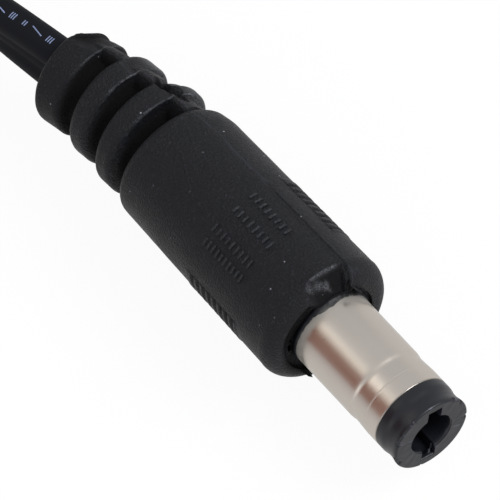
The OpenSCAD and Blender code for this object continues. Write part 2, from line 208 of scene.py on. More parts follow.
def shape_tube(bm, place):
    """Moves each vertex of a spun tube to place(row, angle), then closes the poles"""
    for v in bm.verts:
        row = round(v.co.x)
        angle = math.degrees(math.atan2(v.co.y, v.co.z)) % 360
        v.co = place(row, angle)
    bmesh.ops.remove_doubles(bm, verts=bm.verts, dist=2e-7)
    bmesh.ops.recalc_face_normals(bm, faces=bm.faces)
    return bm


def bent_sheet(columns, rows, thickness, bend):
    """A thin closed sheet: a unit square about 0 mapped by bend(a, b) and given a thickness"""
    sheet = bmesh.new()
    bmesh.ops.create_grid(sheet, x_segments=columns, y_segments=rows, size=0.5)
    for v in sheet.verts:
        v.co = bend(v.co.x, v.co.y)
    bmesh.ops.solidify(sheet, geom=sheet.faces[:], thickness=thickness * MM)
    bmesh.ops.recalc_face_normals(sheet, faces=sheet.faces)
    return sheet


def wrapped_bar(bm, length, width, height, wrap):
    """Adds a small raised bar with softened edges to bm, mapped by wrap(along, across, up)"""
    bar = bmesh.new()
    bmesh.ops.create_cube(bar, size=1)
    for v in bar.verts:
        v.co = Vector((v.co.x * length, v.co.y * width, (v.co.z + 0.5) * height))
    top = [e for e in bar.edges if all(v.co.z > height / 2 for v in e.verts)]
    soft = min(length, width, height) * 0.45
    bmesh.ops.bevel(bar, geom=top, offset=soft, affect="EDGES", segments=2, profile=0.5, material=-1)
    axis = 1 if width > length else 0
    span = [e for e in bar.edges if abs(e.verts[0].co[axis] - e.verts[1].co[axis]) > max(length, width) * 0.5]
    bmesh.ops.subdivide_edges(bar, edges=span, cuts=3, use_grid_fill=True)
    for v in bar.verts:
        v.co = wrap(*v.co)
    absorb(bm, bar)


def absorb(bm, part):
    """Adds a finished small bmesh to a larger one"""
    mesh = bpy.data.meshes.new("part")
    part.to_mesh(mesh)
    part.free()
    bm.from_mesh(mesh)
    bpy.data.meshes.remove(mesh)


def scene_object(name, data):
    """A new object in the scene, at the origin"""
    obj = bpy.data.objects.new(name, data)
    bpy.context.scene.collection.objects.link(obj)
    return obj


def make_piece(name, bm, material, replaced=(), sharp=None):
    """Turns a bmesh into a named piece that rides on the plug"""
    mesh = bpy.data.meshes.new(name)
    bm.to_mesh(mesh)
    bm.free()
    mesh.materials.append(material)
    mesh.shade_smooth()
    if sharp:
        mesh.set_sharp_from_angle(angle=math.radians(sharp))
    piece = scene_object(name, mesh)
    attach(piece, "root")
    if replaced:
        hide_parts(*replaced)
    return piece


# Shader building


def feed(tree, target, inputs):
    """Links each input of a node to a socket, or sets it to a plain value"""
    for key, value in inputs.items():
        if hasattr(value, "node"):
            tree.links.new(value, target.inputs[key])
        else:
            target.inputs[key].default_value = value


def node(tree, kind, inputs=(), **settings):
    n = tree.nodes.new(kind)
    for key, value in settings.items():
        setattr(n, key, value)
    feed(tree, n, dict(inputs))
    return n


def maths(tree, operation, *values):
    return node(tree, "ShaderNodeMath", dict(enumerate(values)), operation=operation).outputs[0]


def ranged(tree, value, lo, hi, from_lo=0.3, from_hi=0.7):
    """Maps a value from one range to another, and holds it there"""
    limits = {"Value": value, "From Min": from_lo, "From Max": from_hi, "To Min": lo, "To Max": hi}
    return node(tree, "ShaderNodeMapRange", limits).outputs["Result"]


def blend_colour(tree, factor, a, b):
    return node(tree, "ShaderNodeMix", {"Factor": factor, "A": a, "B": b}, data_type="RGBA").outputs["Result"]


def rgba(colour, gain=1.0):
    return (colour[0] * gain, colour[1] * gain, colour[2] * gain, 1.0)


def made_once(kind, name):
    """Marks a function that builds a named material or node group, so that it does so only once"""

    def wrap(build):
        def get():
            return getattr(bpy.data, kind).get(name) or build(name)

        return get

    return wrap


def new_group(name, inputs, outputs):
    """A node group with its input sockets and its output node; inputs are (name, kind, default)"""
    group = bpy.data.node_groups.new(name, "ShaderNodeTree")
    for label, kind, default in inputs:
        s = group.interface.new_socket(name=label, in_out="INPUT", socket_type="NodeSocket" + kind)
        if default is not None:
            s.default_value = default
    for label, kind in outputs:
        group.interface.new_socket(name=label, in_out="OUTPUT", socket_type="NodeSocket" + kind)
    return group, group.nodes.new("NodeGroupInput").outputs, group.nodes.new("NodeGroupOutput")


def use_group(tree, group, **inputs):
    """Places a node group in a material with its own values, and returns its outputs"""
    n = tree.nodes.new("ShaderNodeGroup")
    n.node_tree = group
    feed(tree, n, inputs)
    return n.outputs


@made_once("node_groups", "surface_grain")
def grain_group(name):
    """Fine moulded or drawn grain with slow blotches: gives a height and two masks"""
    group, given, out = new_group(
        name,
        [("Vector", "Vector", None), ("Fine", "Float", 4000.0), ("Slow", "Float", 300.0)],
        [("Height", "Float"), ("Blotch", "Float"), ("Speckle", "Float")],
    )

    def cloud(scale, detail, rough):
        inputs = {"Vector": given["Vector"], "Scale": given[scale], "Detail": detail, "Roughness": rough}
        return node(group, "ShaderNodeTexNoise", inputs).outputs["Fac"]

    fine = cloud("Fine", 3.0, 0.6)
    speckle = ranged(group, fine, 0.0, 1.0, 0.6, 0.72)
    feed(group, out, {"Height": fine, "Blotch": cloud("Slow", 4.0, 0.55), "Speckle": speckle})
    return group


@made_once("node_groups", "lint_dust")
def dust_group(name):
    """Sparse pale specks and lint over a base colour"""
    numbers = (("Density", 1100.0), ("Reach", 0.1), ("Share", 0.82))
    group, given, out = new_group(
        name,
        [("Vector", "Vector", None), ("Base", "Color", None), ("Dust", "Color", (0.5, 0.5, 0.52, 1))]
        + [(label, "Float", default) for label, default in numbers],
        [("Color", "Color"), ("Mask", "Float")],
    )
    inputs = {"Vector": given["Vector"], "Scale": given["Density"], "Randomness": 1.0}
    cells = node(group, "ShaderNodeTexVoronoi", inputs)
    near = ranged(group, cells.outputs["Distance"], 0.0, 1.0, given["Reach"], 0.0)
    split = node(group, "ShaderNodeSeparateColor", {"Color": cells.outputs["Color"]}).outputs
    chosen = maths(group, "GREATER_THAN", split[0], given["Share"])
    mask = maths(group, "MULTIPLY", maths(group, "MULTIPLY", near, split[1]), chosen)
    feed(group, out, {"Color": blend_colour(group, mask, given["Base"], given["Dust"]), "Mask": mask})
    return group


@made_once("node_groups", "edge_wear")
def edge_wear_glint_group(name):
    """Lightens convex edges, from pointiness, as wear and as painted glints"""
    numbers = [("From", "Float", 0.52), ("To", "Float", 0.62)]
    colours = [("Base", "Color", None), ("Worn", "Color", (0.1, 0.1, 0.1, 1))]
    group, given, out = new_group(name, colours + numbers, [("Color", "Color")])
    pointed = node(group, "ShaderNodeNewGeometry").outputs["Pointiness"]
    worn_and_glint = ranged(group, pointed, 0.0, 1.0, given["From"], given["To"])
    feed(group, out, {"Color": blend_colour(group, worn_and_glint, given["Base"], given["Worn"])})
    return group


def finish_material(name, **shader):
    """A material with a Principled shader, its constants set on the shader's own sockets"""
    m = bpy.data.materials.new(name)
    m.use_nodes = True
    tree = m.node_tree
    bsdf = tree.nodes["Principled BSDF"]
    for key, value in shader.items():
        bsdf.inputs[key.replace("_", " ")].default_value = value
    where = node(tree, "ShaderNodeTexCoord").outputs["Object"]
    return m, tree, bsdf, where


def dress(tree, bsdf, colour, rough, height, strength, depth):
    """Feeds the shader its colour, its roughness and a bump of that depth"""
    bump = node(tree, "ShaderNodeBump", {"Strength": strength, "Distance": depth * MM, "Height": height})
    feed(tree, bsdf, {"Base Color": colour, "Roughness": rough, "Normal": bump.outputs["Normal"]})


def coordinate(tree, where, axis):
    return node(tree, "ShaderNodeSeparateXYZ", {"Vector": where}).outputs[axis]


# Finishes


@made_once("materials", "soft_black_moulding")
def moulding_material(name):
    """Soft black plastic with a spark-eroded grain, pale where it is torn, lightened with painted glints on edges,
    specks and tick tops, and painted with near-black shade in its hollows
    """
    base = bpy.context.scene.plug_finish.plastic
    m, tree, bsdf, where = finish_material(name, Specular_IOR_Level=0.2)
    grain = use_group(tree, grain_group(), Vector=where, Fine=6400.0, Slow=420.0)
    tone = blend_colour(tree, grain["Blotch"], rgba(base, 0.8), rgba(base, 1.25))
    # Painted glints: pale specks scattered over the grain
    glint_specks = blend_colour(tree, grain["Speckle"], tone, rgba(base, 5.0))
    # Edges lightened as wear and as painted glints
    worn_and_glint = use_group(tree, edge_wear_glint_group(), Base=glint_specks, Worn=rgba(base, 2.8), From=0.555, To=0.7)["Color"]
    # The first attribute holds pale torn faces together with painted glints on rims, brows and ticks; the second holds
    # painted shade
    torn, painted_shade = (
        node(tree, "ShaderNodeAttribute", attribute_name=layer).outputs["Fac"] for layer in ("torn_and_glint", "painted_shade")
    )
    crumbs = use_group(tree, grain_group(), Vector=where, Fine=10500.0, Slow=5200.0)["Height"]
    pale = maths(tree, "MULTIPLY", torn, ranged(tree, crumbs, 0.12, 1.0, 0.4, 0.68))
    # Pale torn faces and painted glints
    cut = blend_colour(tree, pale, worn_and_glint, (0.17, 0.175, 0.19, 1))
    # Painted shade: near black in the hollows, slots and voids
    cut = blend_colour(tree, painted_shade, cut, (0.0008, 0.0008, 0.001, 1))
    pale_lint = (0.62, 0.66, 0.75, 1)
    dust = use_group(tree, dust_group(), Vector=where, Base=cut, Dust=pale_lint, Density=1350.0, Reach=0.1, Share=0.74)
    rough = maths(tree, "MULTIPLY_ADD", painted_shade, 0.5, ranged(tree, grain["Blotch"], 0.4, 0.52))
    dress(tree, bsdf, dust["Color"], rough, grain["Height"], 1.0, 0.17)
    return m


@made_once("materials", "thin_film")
def film_material(name):
    """Thin smeared flash: black plastic that greys out where it thins over the metal"""
    base = bpy.context.scene.plug_finish.plastic
    m, tree, bsdf, where = finish_material(name, Specular_IOR_Level=0.3)
    grain = use_group(tree, grain_group(), Vector=where, Fine=4200.0, Slow=1500.0)
    root_x, thin_x = (SHOULDER + 0.02) * MM, (SHOULDER + 0.34) * MM
    thin = ranged(tree, coordinate(tree, where, "X"), 0.0, 0.6, root_x, thin_x)
    patchy = maths(tree, "MULTIPLY", thin, ranged(tree, grain["Blotch"], 0.1, 1.5))
    tone = blend_colour(tree, patchy, rgba(base, 1.3), (0.11, 0.108, 0.1, 1))
    dress(tree, bsdf, tone, ranged(tree, grain["Blotch"], 0.4, 0.6), grain["Height"], 0.6, 0.03)
    return m


@made_once("materials", "hard_black_tip")
def tip_material(name):
    """Hard black plastic with scuffed edges that also carry painted glints"""
    base = bpy.context.scene.plug_finish.tip
    m, tree, bsdf, where = finish_material(name, Specular_IOR_Level=0.35)
    grain = use_group(tree, grain_group(), Vector=where, Fine=3800.0, Slow=700.0)
    tone = blend_colour(tree, grain["Blotch"], rgba(base, 0.85), rgba(base, 1.15))
    worn_and_glint = use_group(tree, edge_wear_glint_group(), Base=tone, Worn=rgba(base, 6.0), From=0.54, To=0.68)["Color"]
    dust = use_group(tree, dust_group(), Vector=where, Base=worn_and_glint, Density=1500.0, Reach=0.08, Share=0.84)
    dress(tree, bsdf, dust["Color"], ranged(tree, grain["Blotch"], 0.3, 0.42), grain["Height"], 0.2, 0.01)
    return m


@made_once("materials", "lead_sheath")
def sheath_material(name):
    """Smooth black insulation"""
    base = bpy.context.scene.plug_finish.plastic
    m, tree, bsdf, where = finish_material(name, Specular_IOR_Level=0.09)
    grain = use_group(tree, grain_group(), Vector=where, Fine=2600.0, Slow=500.0)
    tone = blend_colour(tree, grain["Blotch"], rgba(base, 1.3), rgba(base, 1.8))
    dust = use_group(tree, dust_group(), Vector=where, Base=tone, Density=1200.0, Reach=0.08, Share=0.86)
    dress(tree, bsdf, dust["Color"], ranged(tree, grain["Blotch"], 0.6, 0.72), grain["Height"], 0.18, 0.012)
    return m


@made_once("materials", "satin_nickel")
def nickel_material(name):
    """Satin plating with drawn lines along the barrel, a few specks, a dull smear at its root, and painted shade where
    it sinks into the moat and along its front edge
    """
    base = bpy.context.scene.plug_finish.nickel
    m, tree, bsdf, where = finish_material(name)
    along = coordinate(tree, where, "X")
    drawn = node(tree, "ShaderNodeMapping", {"Vector": where, "Scale": (0.06, 1.0, 1.0)}).outputs["Vector"]
    lines = use_group(tree, grain_group(), Vector=drawn, Fine=5200.0, Slow=900.0)
    blotch = use_group(tree, grain_group(), Vector=where, Fine=3000.0, Slow=260.0)["Blotch"]
    tone = blend_colour(tree, blotch, rgba(base, 0.93), rgba(base, 1.05))
    speck = (0.16, 0.15, 0.14, 1)
    specks = use_group(tree, dust_group(), Vector=where, Base=tone, Dust=speck, Density=700.0, Reach=0.06, Share=0.88)
    # Painted shade along the sleeve's front edge, where it meets the tip
    rim_shade = ranged(tree, along, 0.0, 0.75, (SHOULDER + 7.93) * MM, (SHOULDER + 8.02) * MM)
    plated = blend_colour(tree, rim_shade, specks["Color"], (0.1, 0.095, 0.09, 1))
    # The smear reaches further along on the +Y side, and turns to painted shade inside the moat
    smear = use_group(tree, grain_group(), Vector=where, Fine=2600.0, Slow=620.0)["Blotch"]
    edge = ranged(tree, smear, (SHOULDER + 0.15) * MM, (SHOULDER + 0.55) * MM)
    wide = ranged(tree, coordinate(tree, where, "Y"), 0.0, 0.34 * MM, 1.2 * MM, 2.2 * MM)
    near = maths(tree, "SUBTRACT", maths(tree, "ADD", edge, wide), along)
    dull = ranged(tree, near, 0.0, 1.0, -0.32 * MM, 0.42 * MM)
    # Painted shade: near black where the sleeve sinks into the moat
    moat_shade = ranged(tree, along, 0.0, 1.0, (SHOULDER + 0.22) * MM, (SHOULDER - 0.02) * MM)
    smear_and_shade = blend_colour(tree, moat_shade, (0.14, 0.135, 0.125, 1), (0.008, 0.008, 0.009, 1))
    rough = maths(tree, "MULTIPLY_ADD", dull, 0.3, ranged(tree, lines["Blotch"], 0.29, 0.39))
    dress(tree, bsdf, blend_colour(tree, dull, plated, smear_and_shade), rough, lines["Height"], 0.08, 0.006)
    feed(tree, bsdf, {"Metallic": maths(tree, "SUBTRACT", 1.0, dull)})
    return m


def plain_material(name, colour, metallic, rough, fine=2500.0):
    """A procedural finish for a part that is mostly hidden"""
    if name in bpy.data.materials:
        return bpy.data.materials[name]
    m, tree, bsdf, where = finish_material(name, Metallic=metallic)
    grain = use_group(tree, grain_group(), Vector=where, Fine=fine, Slow=400.0)
    tone = blend_colour(tree, grain["Blotch"], rgba(colour, 0.8), rgba(colour, 1.12))
    edged = use_group(tree, edge_wear_glint_group(), Base=tone, Worn=rgba(colour, 1.3))["Color"]
    dress(tree, bsdf, edged, ranged(tree, grain["Blotch"], rough * 0.85, rough * 1.15), grain["Height"], 0.25, 0.01)
    return m


# The lead's route, as it lies on the table


def lead_route():
    """Centreline of the lead from the relief to the hank: points, and how far the twin leans from standing on edge"""
    # (back from the relief, to the side, share of the drop to the table, share of the turn on edge)
    legs = [(0, 0, 0, 0), (2, 0.29, 0.02, 0.08), (4, 0.58, 0.08, 0.2), (6, 0.86, 0.2, 0.35), (8, 1.12, 0.42, 0.55)]
    legs += [(10, 1.32, 0.68, 0.75), (12, 1.44, 0.88, 0.9), (14, 1.5, 0.98, 0.98), (16, 1.5, 1, 1)]
    s = bpy.context.scene.lead_sizes
    x, y, _ = relief_point(bpy.context.scene.plug_sizes, relief_length(), 0, 0)
    fall = s.core_pitch / 2 + s.core_d / 2 - AXIS_Z
    stops = [
        ((x + SHOULDER - back, y - side, AXIS_Z + fall * drop), FORK_ROLL * (1 - turn))
        for back, side, drop, turn in legs
    ]
    return smooth_route(stops, 7)


def smooth_route(stops, parts):
    """A Catmull-Rom path through (point, roll) stops"""
    out = []
    last = len(stops) - 1
    for i in range(last):
        four = [stops[max(i - 1, 0)], stops[i], stops[i + 1], stops[min(i + 2, last)]]
        for k in range(parts):
            t = k / parts
            weights = (
                -0.5 * t + t * t - 0.5 * t**3,
                1 - 2.5 * t * t + 1.5 * t**3,
                0.5 * t + 2 * t * t - 1.5 * t**3,
                -0.5 * t * t + 0.5 * t**3,
            )
            point = tuple(sum(w * stop[0][axis] for w, stop in zip(weights, four)) for axis in range(3))
            out.append((point, sum(w * stop[1] for w, stop in zip(weights, four))))
    out.append(stops[-1])
    return out


class Walk:
    """Steps a point over the table along straights and arcs, and keeps the stations it passes"""

    def __init__(self, u, v, heading):
        self.u, self.v, self.heading = u, v, heading
        self.stations = [(u, v)]

    def straight(self, length, step=1.5):
        n = max(1, round(length / step))
        for _ in range(n):
            self.u += length / n * math.cos(self.heading)
            self.v += length / n * math.sin(self.heading)
            self.stations.append((self.u, self.v))

    def arc(self, radius, turn, step=0.07):
        """turn is in radians, and positive to the left"""
        n = max(2, round(abs(turn) / step))
        side = 1 if turn > 0 else -1
        for _ in range(n):
            cu = self.u - side * radius * math.sin(self.heading)
            cv = self.v + side * radius * math.cos(self.heading)
            self.heading += turn / n
            self.u = cu + side * radius * math.sin(self.heading)
            self.v = cv - side * radius * math.cos(self.heading)
            self.stations.append((self.u, self.v))


def hank_route():
    """Centreline of the folded hank: three runs side by side at the waist, with a fold at each end"""
    s = bpy.context.scene.lead_sizes
    r, p = s.loop_r, s.run_pitch
    sway = math.acos(1 - (r - p / 2) / (2 * r))
    sway_in = [(r + p, sway), (r - p, -sway)]
    fold = [(r, -sway), (r, sway), (r, math.pi), (r, sway), (r, -sway)]
    fold_back = [(radius, -turn) for radius, turn in fold]
    sway_out = [(r - p, sway), (r + p, -sway)]
    w = Walk(0, -(r + p / 2), 0)
    w.straight(HANK_LEAD_IN)
    for i, arcs in enumerate((sway_in, fold, fold_back, sway_out)):
        if i:
            w.straight(s.waist_len)
        for arc in arcs:
            w.arc(*arc)
    w.straight(HANK_LEAD_IN)
    return w.stations


def whole_route():
    """The lead's centreline with its rolls, from the relief to the split"""
    s = bpy.context.scene.lead_sizes
    flat_z = s.core_d / 2
    edge_z = s.core_pitch / 2 + flat_z
    out = lead_route()
    centre_y = out[-1][0][1] + s.loop_r + s.run_pitch / 2
    hank = hank_route()
    length = hank[-1][0]
    for i, (u, v) in enumerate(hank[1:], 1):
        z, roll = edge_z, 0.0
        # The runs ride up a little under the tie, and the last straight rolls down flat
        if abs(v) < s.run_pitch * 1.6:
            z += 0.4 * (1 - ease(s.waist_len / 2, s.waist_len / 2 + 6, abs(u - length / 2)))
        if i > len(hank) - 12:
            roll = 90 * ease(length - HANK_LEAD_IN, length, u)
            z = flat_z + s.core_pitch / 2 * math.cos(math.radians(roll))
        out.append(((LEAD_END - u, centre_y + v, z), roll))
    return out


# The moulding


def relief_point(sizes, t, y, z):
    """Bends a point at distance t behind the shoulder round the relief's curve"""
    bend_at = sizes.body_len - 0.5
    if t <= bend_at:
        return (-t, y, z)
    a = (t - bend_at) / sizes.bend_r
    return (-bend_at - (sizes.bend_r + y) * math.sin(a), -sizes.bend_r + (sizes.bend_r + y) * math.cos(a), z)


def relief_length():
    """Distance from the shoulder to the relief's end"""
    return bpy.context.scene.plug_sizes.body_len + sum(RIB_SLOT + width for width, _ in RIBS)


def body_radius(sizes, t):
    front_r = sizes.body_front_d / 2
    return front_r + (sizes.body_rear_d - sizes.body_front_d) / 2 * clamp(t / sizes.body_len)


def rounded_edge(t, r, radius, start, end, n):
    """Stations round an edge: centre (t, r), angles from the axis direction"""
    turns = [math.radians(start + (end - start) * i / n) for i in range(n + 1)]
    return [(t - radius * math.cos(a), r + radius * math.sin(a)) for a in turns]


def moat_stations(moat_r):
    """The moat's flat bottom, which reaches in to the axis, and its outer wall"""
    rows = [(MOAT_DEPTH, r) for r in (0, 2.4, 2.75, 2.9)]
    rows += [(0.44, moat_r - 0.08), (0.4, moat_r - 0.02), (0.3, moat_r), (0.2, moat_r), (0.1, moat_r + 0.01)]
    return rows + [(0.03, moat_r + 0.05), (0, moat_r + 0.12)]


def moulding_stations(sizes):
    """(t, radius) along the moulding from the moat to the relief's end, and the sharp corner behind each rib's edge"""
    core, fillet = RELIEF_CORE, sizes.rib_fillet
    moat_r = sizes.barrel_d / 2 + MOAT_WIDTH
    face_r = body_radius(sizes, 0)
    rows = moat_stations(moat_r)
    rows += [(0, r) for r in spaced(moat_r + 0.12, face_r - FRONT_ROUNDING - 0.02, 0.1)]
    rows += rounded_edge(FRONT_ROUNDING, face_r - FRONT_ROUNDING, FRONT_ROUNDING, 0, 90, 24)
    grip_from, grip_to = GRIP_START - 0.4, GRIP_START + GRIP_PITCH * sizes.grip_count
    rear = sizes.body_len - REAR_ROUNDING
    for a, b, step in ((FRONT_ROUNDING, grip_from, 0.16), (grip_from, grip_to, 0.055), (grip_to, rear, 0.2)):
        rows += [(t, body_radius(sizes, t)) for t in spaced(a, b, step)]
    wall = body_radius(sizes, rear) - REAR_ROUNDING
    rows += rounded_edge(rear, wall, REAR_ROUNDING, 100, 180, 8)
    t = sizes.body_len
    corners = {}
    for width, r in RIBS:
        rows += [(t + 0.006 * i, q) for i, q in enumerate(spaced(wall, core + 0.2, 0.22))]
        rows += [(t + 0.06, core + 0.1), (t + 0.13, core + 0.03), (t + 0.24, core)]
        rows += [(q, core) for q in spaced(t + 0.24, t + RIB_SLOT - 0.24, 0.12)]
        t += RIB_SLOT
        wall = r - fillet - 0.03
        rows += [(t - 0.13, core + 0.03), (t - 0.06, core + 0.1)]
        rows += [(t - 0.04 + 0.004 * i, q) for i, q in enumerate(spaced(core + 0.2, wall, 0.2))]
        for point in rounded_edge(t + fillet, r - fillet, fillet, 0, 90, 9):
            corners[len(rows)] = (t, r)
            rows.append(point)
        rows += [(q, r) for q in spaced(t + fillet, t + width - fillet, 0.12)]
        rows += rounded_edge(t + width - fillet, r - fillet, fillet, 90, 180, 7)[1:]
        t += width
    rows += [(t, 2.4), (t, 1.6), (t, 0.8), (t, 0)]
    return rows, corners


def moulding_angles():
    """Angles round the moulding, closer at its webs, seam and grips"""
    fine = {WEB + turn: 0.6 for turn in (-9, 9, 171, 189)}
    fine.update({SEAM: 0.35, SEAM + 180: 0.35, 12: 0.8})
    fine.update({centre + side: 0.8 for centre in (90, 270) for side in (-26, 26)})
    angles, a = [], 0.0
    while a < 359.4:
        angles.append(a)
        step = 2.3
        for centre, small in fine.items():
            if abs(off_angle(a + small, centre)) < 2.6 + (10 if centre == WEB + 9 else 0):
                step = min(step, small)
        if a < 56 or a > 350:
            step = min(step, 0.6 if 38 < a < 56 else 1.2)
        a += step
    return angles


def web_height(t, sizes):
    """Radius of the webs that join the ribs, at distance t behind the shoulder"""
    stops = [(sizes.body_len, body_radius(sizes, sizes.body_len) - 0.16)]
    start = sizes.body_len
    for width, r in RIBS:
        start += RIB_SLOT
        stops.append((start + width / 2, r - 0.02))
        start += width
    for (t0, r0), (t1, r1) in zip(stops, stops[1:]):
        if t < t1:
            return r0 + (r1 - r0) * clamp((t - t0) / (t1 - t0))
    return stops[-1][1]


def pit(t, lateral, depth, reach, width):
    """Depth of a torn hollow centred on t = 0 and lateral = 0"""
    ragged = 0.16 * wander((t, lateral, 0), 0.4, 3)
    away = math.sqrt((t / reach) ** 2 + (lateral / width) ** 2) + ragged
    return depth * ease(1.0, 0.45, away)


def join_ribs(sizes, t, r, angle):
    """Adds the webs between the ribs, of which the nearer one is wider and sinks on its far side"""
    for centre in (WEB, WEB + 180):
        away = off_angle(angle, centre)
        near_web = centre == WEB
        far = 18 if near_web else 8.1
        share = ease(-10.2, -8.1, away) * ease(far + 2.1, far, away)
        sunk = 0.36 * ease(-2, 19, away) if near_web else 0.12 * ease(5.5, 9, away)
        top = web_height(t, sizes) - 0.12 * ease(5.5, 9, -away) - sunk
        if top > r:
            r += (top - r) * share
    return r


def wear_relief(sizes, t, r, angle):
    """Torn voids and the pressed far side of the ribs: returns r, its share of painted glints and its share of painted
    shade
    """
    cut = painted_shade = 0.0
    s = t - sizes.body_len
    torn = 1 + 0.6 * wander((t, angle / 16, 1), 0.2, 7)
    for back, turn, depth, reach, width in VOIDS:
        hollow = pit(s - back, off_arc(angle, WEB + turn, r), depth, reach, width)
        r -= hollow * torn
        # Painted glints in the shallower voids, and painted shade in every void
        cut = max(cut, 0.7 * hollow * (depth < 1))
        painted_shade = max(painted_shade, 1.4 * hollow)
    far_side = ease(WEB - 26, WEB - 4, angle) * ease(135, 95, angle)
    second_rib, last_rib = ease(4.1, 4.4, s) * ease(6.2, 6.0, s), ease(7.0, 7.6, s)
    r -= (0.14 * last_rib + 0.1 * second_rib) * far_side * ease(2.3, 2.7, r)
    r -= 0.2 * ease(7.6, 9.0, s) * far_side * ease(2.3, 2.7, r)
    # Painted glints speckled along the ribs' tops on their far side
    if r > 2.9:
        cut = max(cut, 0.5 * ease(56, 78, angle) * ease(122, 102, angle))
    first_rib_end = ease(1.95, 2.5, s) * ease(3.3, 3.0, s)
    r -= 0.3 * first_rib_end * ease(WEB + 2, WEB + 8, angle) * ease(112, 86, angle)
    return r, cut, painted_shade


def cut_grips(sizes, t, r, angle):
    """Raised pads on both sides, with finger grooves across them"""
    pad_end = GRIP_START - 0.05 + GRIP_PITCH * sizes.grip_count
    for centre in (90, 270):
        reach = ease(26.8, 24.6, abs(off_angle(angle, centre)))
        if reach > 0:
            r += 0.05 * reach * ease(3.65, 3.8, t) * ease(pad_end + 0.15, pad_end, t)
            for i in range(sizes.grip_count):
                across = abs(t - GRIP_START - GRIP_PITCH * i)
                if across < 0.2:
                    r -= sizes.grip_depth * reach * ease(0.19, 0.03, across)
    return r


def draw_parting_line(t, r, angle):
    """A crease with a lip along both seams, and a slight step between the halves, fading towards the rear"""
    fade = ease(9.4, 6.8, t)
    for centre in (SEAM, SEAM + 180):
        lateral = off_arc(angle, centre, r)
        crease = bell(lateral, 0.085)
        if t > 0.15:
            r += (0.028 * bell(lateral + 0.17, 0.08) - 0.065 * crease) * fade
        else:
            t += 0.05 * crease
    proud_half = ease(SEAM - 0.5, SEAM + 0.5, angle) - ease(SEAM + 179.5, SEAM + 180.5, angle)
    r -= 0.022 * (1 - proud_half) * fade
    t -= 0.1 * proud_half * ease(0.9, 0, t)
    return t, r


def trim_gate(sizes, t, r, angle):
    """A flat cut down to the barrel's foot, broken off at the parting line: returns r, its share of pale scuffing and
    painted highlight, and its share of painted shade
    """
    delta = math.radians(off_angle(angle, GATE))
    if t >= 1.3 or abs(math.degrees(delta)) >= 60:
        return r, 0.0, 0.0
    lateral = r * math.sin(delta)
    foot = sizes.barrel_d / 2 + 0.12
    level = foot + (sizes.body_front_d / 2 - foot) * clamp((t + 0.02) / 1.06) ** 1.15
    inside = ease(-2.3, -1.4, lateral) * ease(43.8, 42.4, angle)
    if inside > 0 and r * math.cos(delta) > level:
        torn = 0.03 * wander((t, lateral, 4), 0.5, 9) + 0.012 * wander((t, lateral, 4), 0.13, 2)
        r += (level / math.cos(delta) + torn - r) * inside
    brow = inside * bell(t - 1.0, 0.07)
    crack = bell(off_angle(angle, 43.4), 1.9) * ease(1.1, 0.72, t)
    r += 0.06 * brow - 0.34 * crack
    # A pale scuffed patch across the cut's foot, a pale line along its brow that is a painted highlight, and painted
    # shade down the cut's slope
    slant = t - 0.58 + 0.22 * (lateral + 0.7)
    ragged = 0.35 * wander((t, lateral, 6), 0.35, 8)
    patch = ease(1.0, 0.45, abs(lateral + 0.85) + ragged) * ease(0.31, 0.03, abs(slant) + 0.4 * ragged) * 0.7
    painted_shade = 0.75 * inside * ease(0.98, 0.8, t) * ease(-1.9, -1.2, lateral) * (1 - patch)
    return r, max(patch, 0.75 * brow * ease(-1.6, -0.9, lateral) * ease(1.0, 0.5, lateral)), painted_shade


def carve_moulding(sizes, t, r, angle):
    """Relief of the moulding's surface at one station and angle: returns (t, r), its share of pale torn faces and
    painted glints, and its share of painted shade
    """
    cut = painted_shade = 0.0
    end, body = relief_length(), sizes.body_len
    outer = t < body and r > sizes.barrel_d / 2 + 0.34
    if body - 0.05 < t < end - 0.3 and r > 1:
        if t <= end - RIBS[-1][0] / 2:
            r = join_ribs(sizes, t, r, angle)
        r, cut, painted_shade = wear_relief(sizes, t, r, angle)
    # Rear face of the relief, pressed in on its far side
    if t > end - 1.3:
        far_side = ease(26, 62, angle) * ease(150, 112, angle)
        t -= 0.58 * ease(end - 1.3, end, t) * far_side * ease(1.5, 2.4, r)
    # Torn skin left on the last rib's rear edge
    lateral = off_arc(angle, 42, 3.3)
    burr = ease(0.42, 0.1, abs(lateral)) * ease(0.3, 0.08, abs(t - (end - 0.28)))
    r += 0.1 * burr * (1 + 0.6 * wander((t, lateral, 2), 0.15, 4))
    if outer:
        # The body sinks towards the nearer web
        r -= 0.17 * ease(body - 1.7, body - 0.2, t) * ease(WEB - 8, WEB + 14, angle) * ease(135, 100, angle)
        r = cut_grips(sizes, t, r, angle)
        t, r = draw_parting_line(t, r, angle)
        # The gate gives back pale scuffing with a painted highlight, and painted shade
        r, patch, gate_shade = trim_gate(sizes, t, r, angle)
        cut, painted_shade = max(cut, patch), max(painted_shade, gate_shade)
    return t, r, cut, painted_shade


def moat_side(angle):
    """1 where the moat stands open and wide, 0 where flash closes it"""
    return ease(80, 62, abs(off_angle(angle, OPEN_MOAT)))


def moat_opening(angle):
    """Share of the moat's depth left open at this angle; flash fills the rest"""
    right = 0.45 * ease(66, 84, angle) * ease(176, 150, angle)
    ragged = 0.12 * wander(polar(0, 2.9, angle), 0.6, 12)
    return clamp(max(moat_side(angle), right) + ragged, 0.03, 1.0)


def sharpen_edge(corner, t, r, angle):
    """Draws a rib's rounded leading edge in towards its corner near the webs: returns (t, r) and its share of painted
    glint along the edge
    """
    t0, r0 = corner
    away = min(abs(off_angle(angle, WEB)), abs(off_angle(angle, WEB + 180)))
    cut = 0.0
    # Painted glints along the edge, strongest near the webs
    if 0.1 < (t - t0) / (r0 - r + 0.01) < 6:
        cut = 0.8 * ease(64, 14, away) * (0.6 + 0.6 * wander((t0, angle / 7, 0), 1.0))
    crisp = 0.3 + 0.7 * ease(18, 84, away)
    return t0 + (t - t0) * crisp, r0 + (r - r0) * crisp, cut


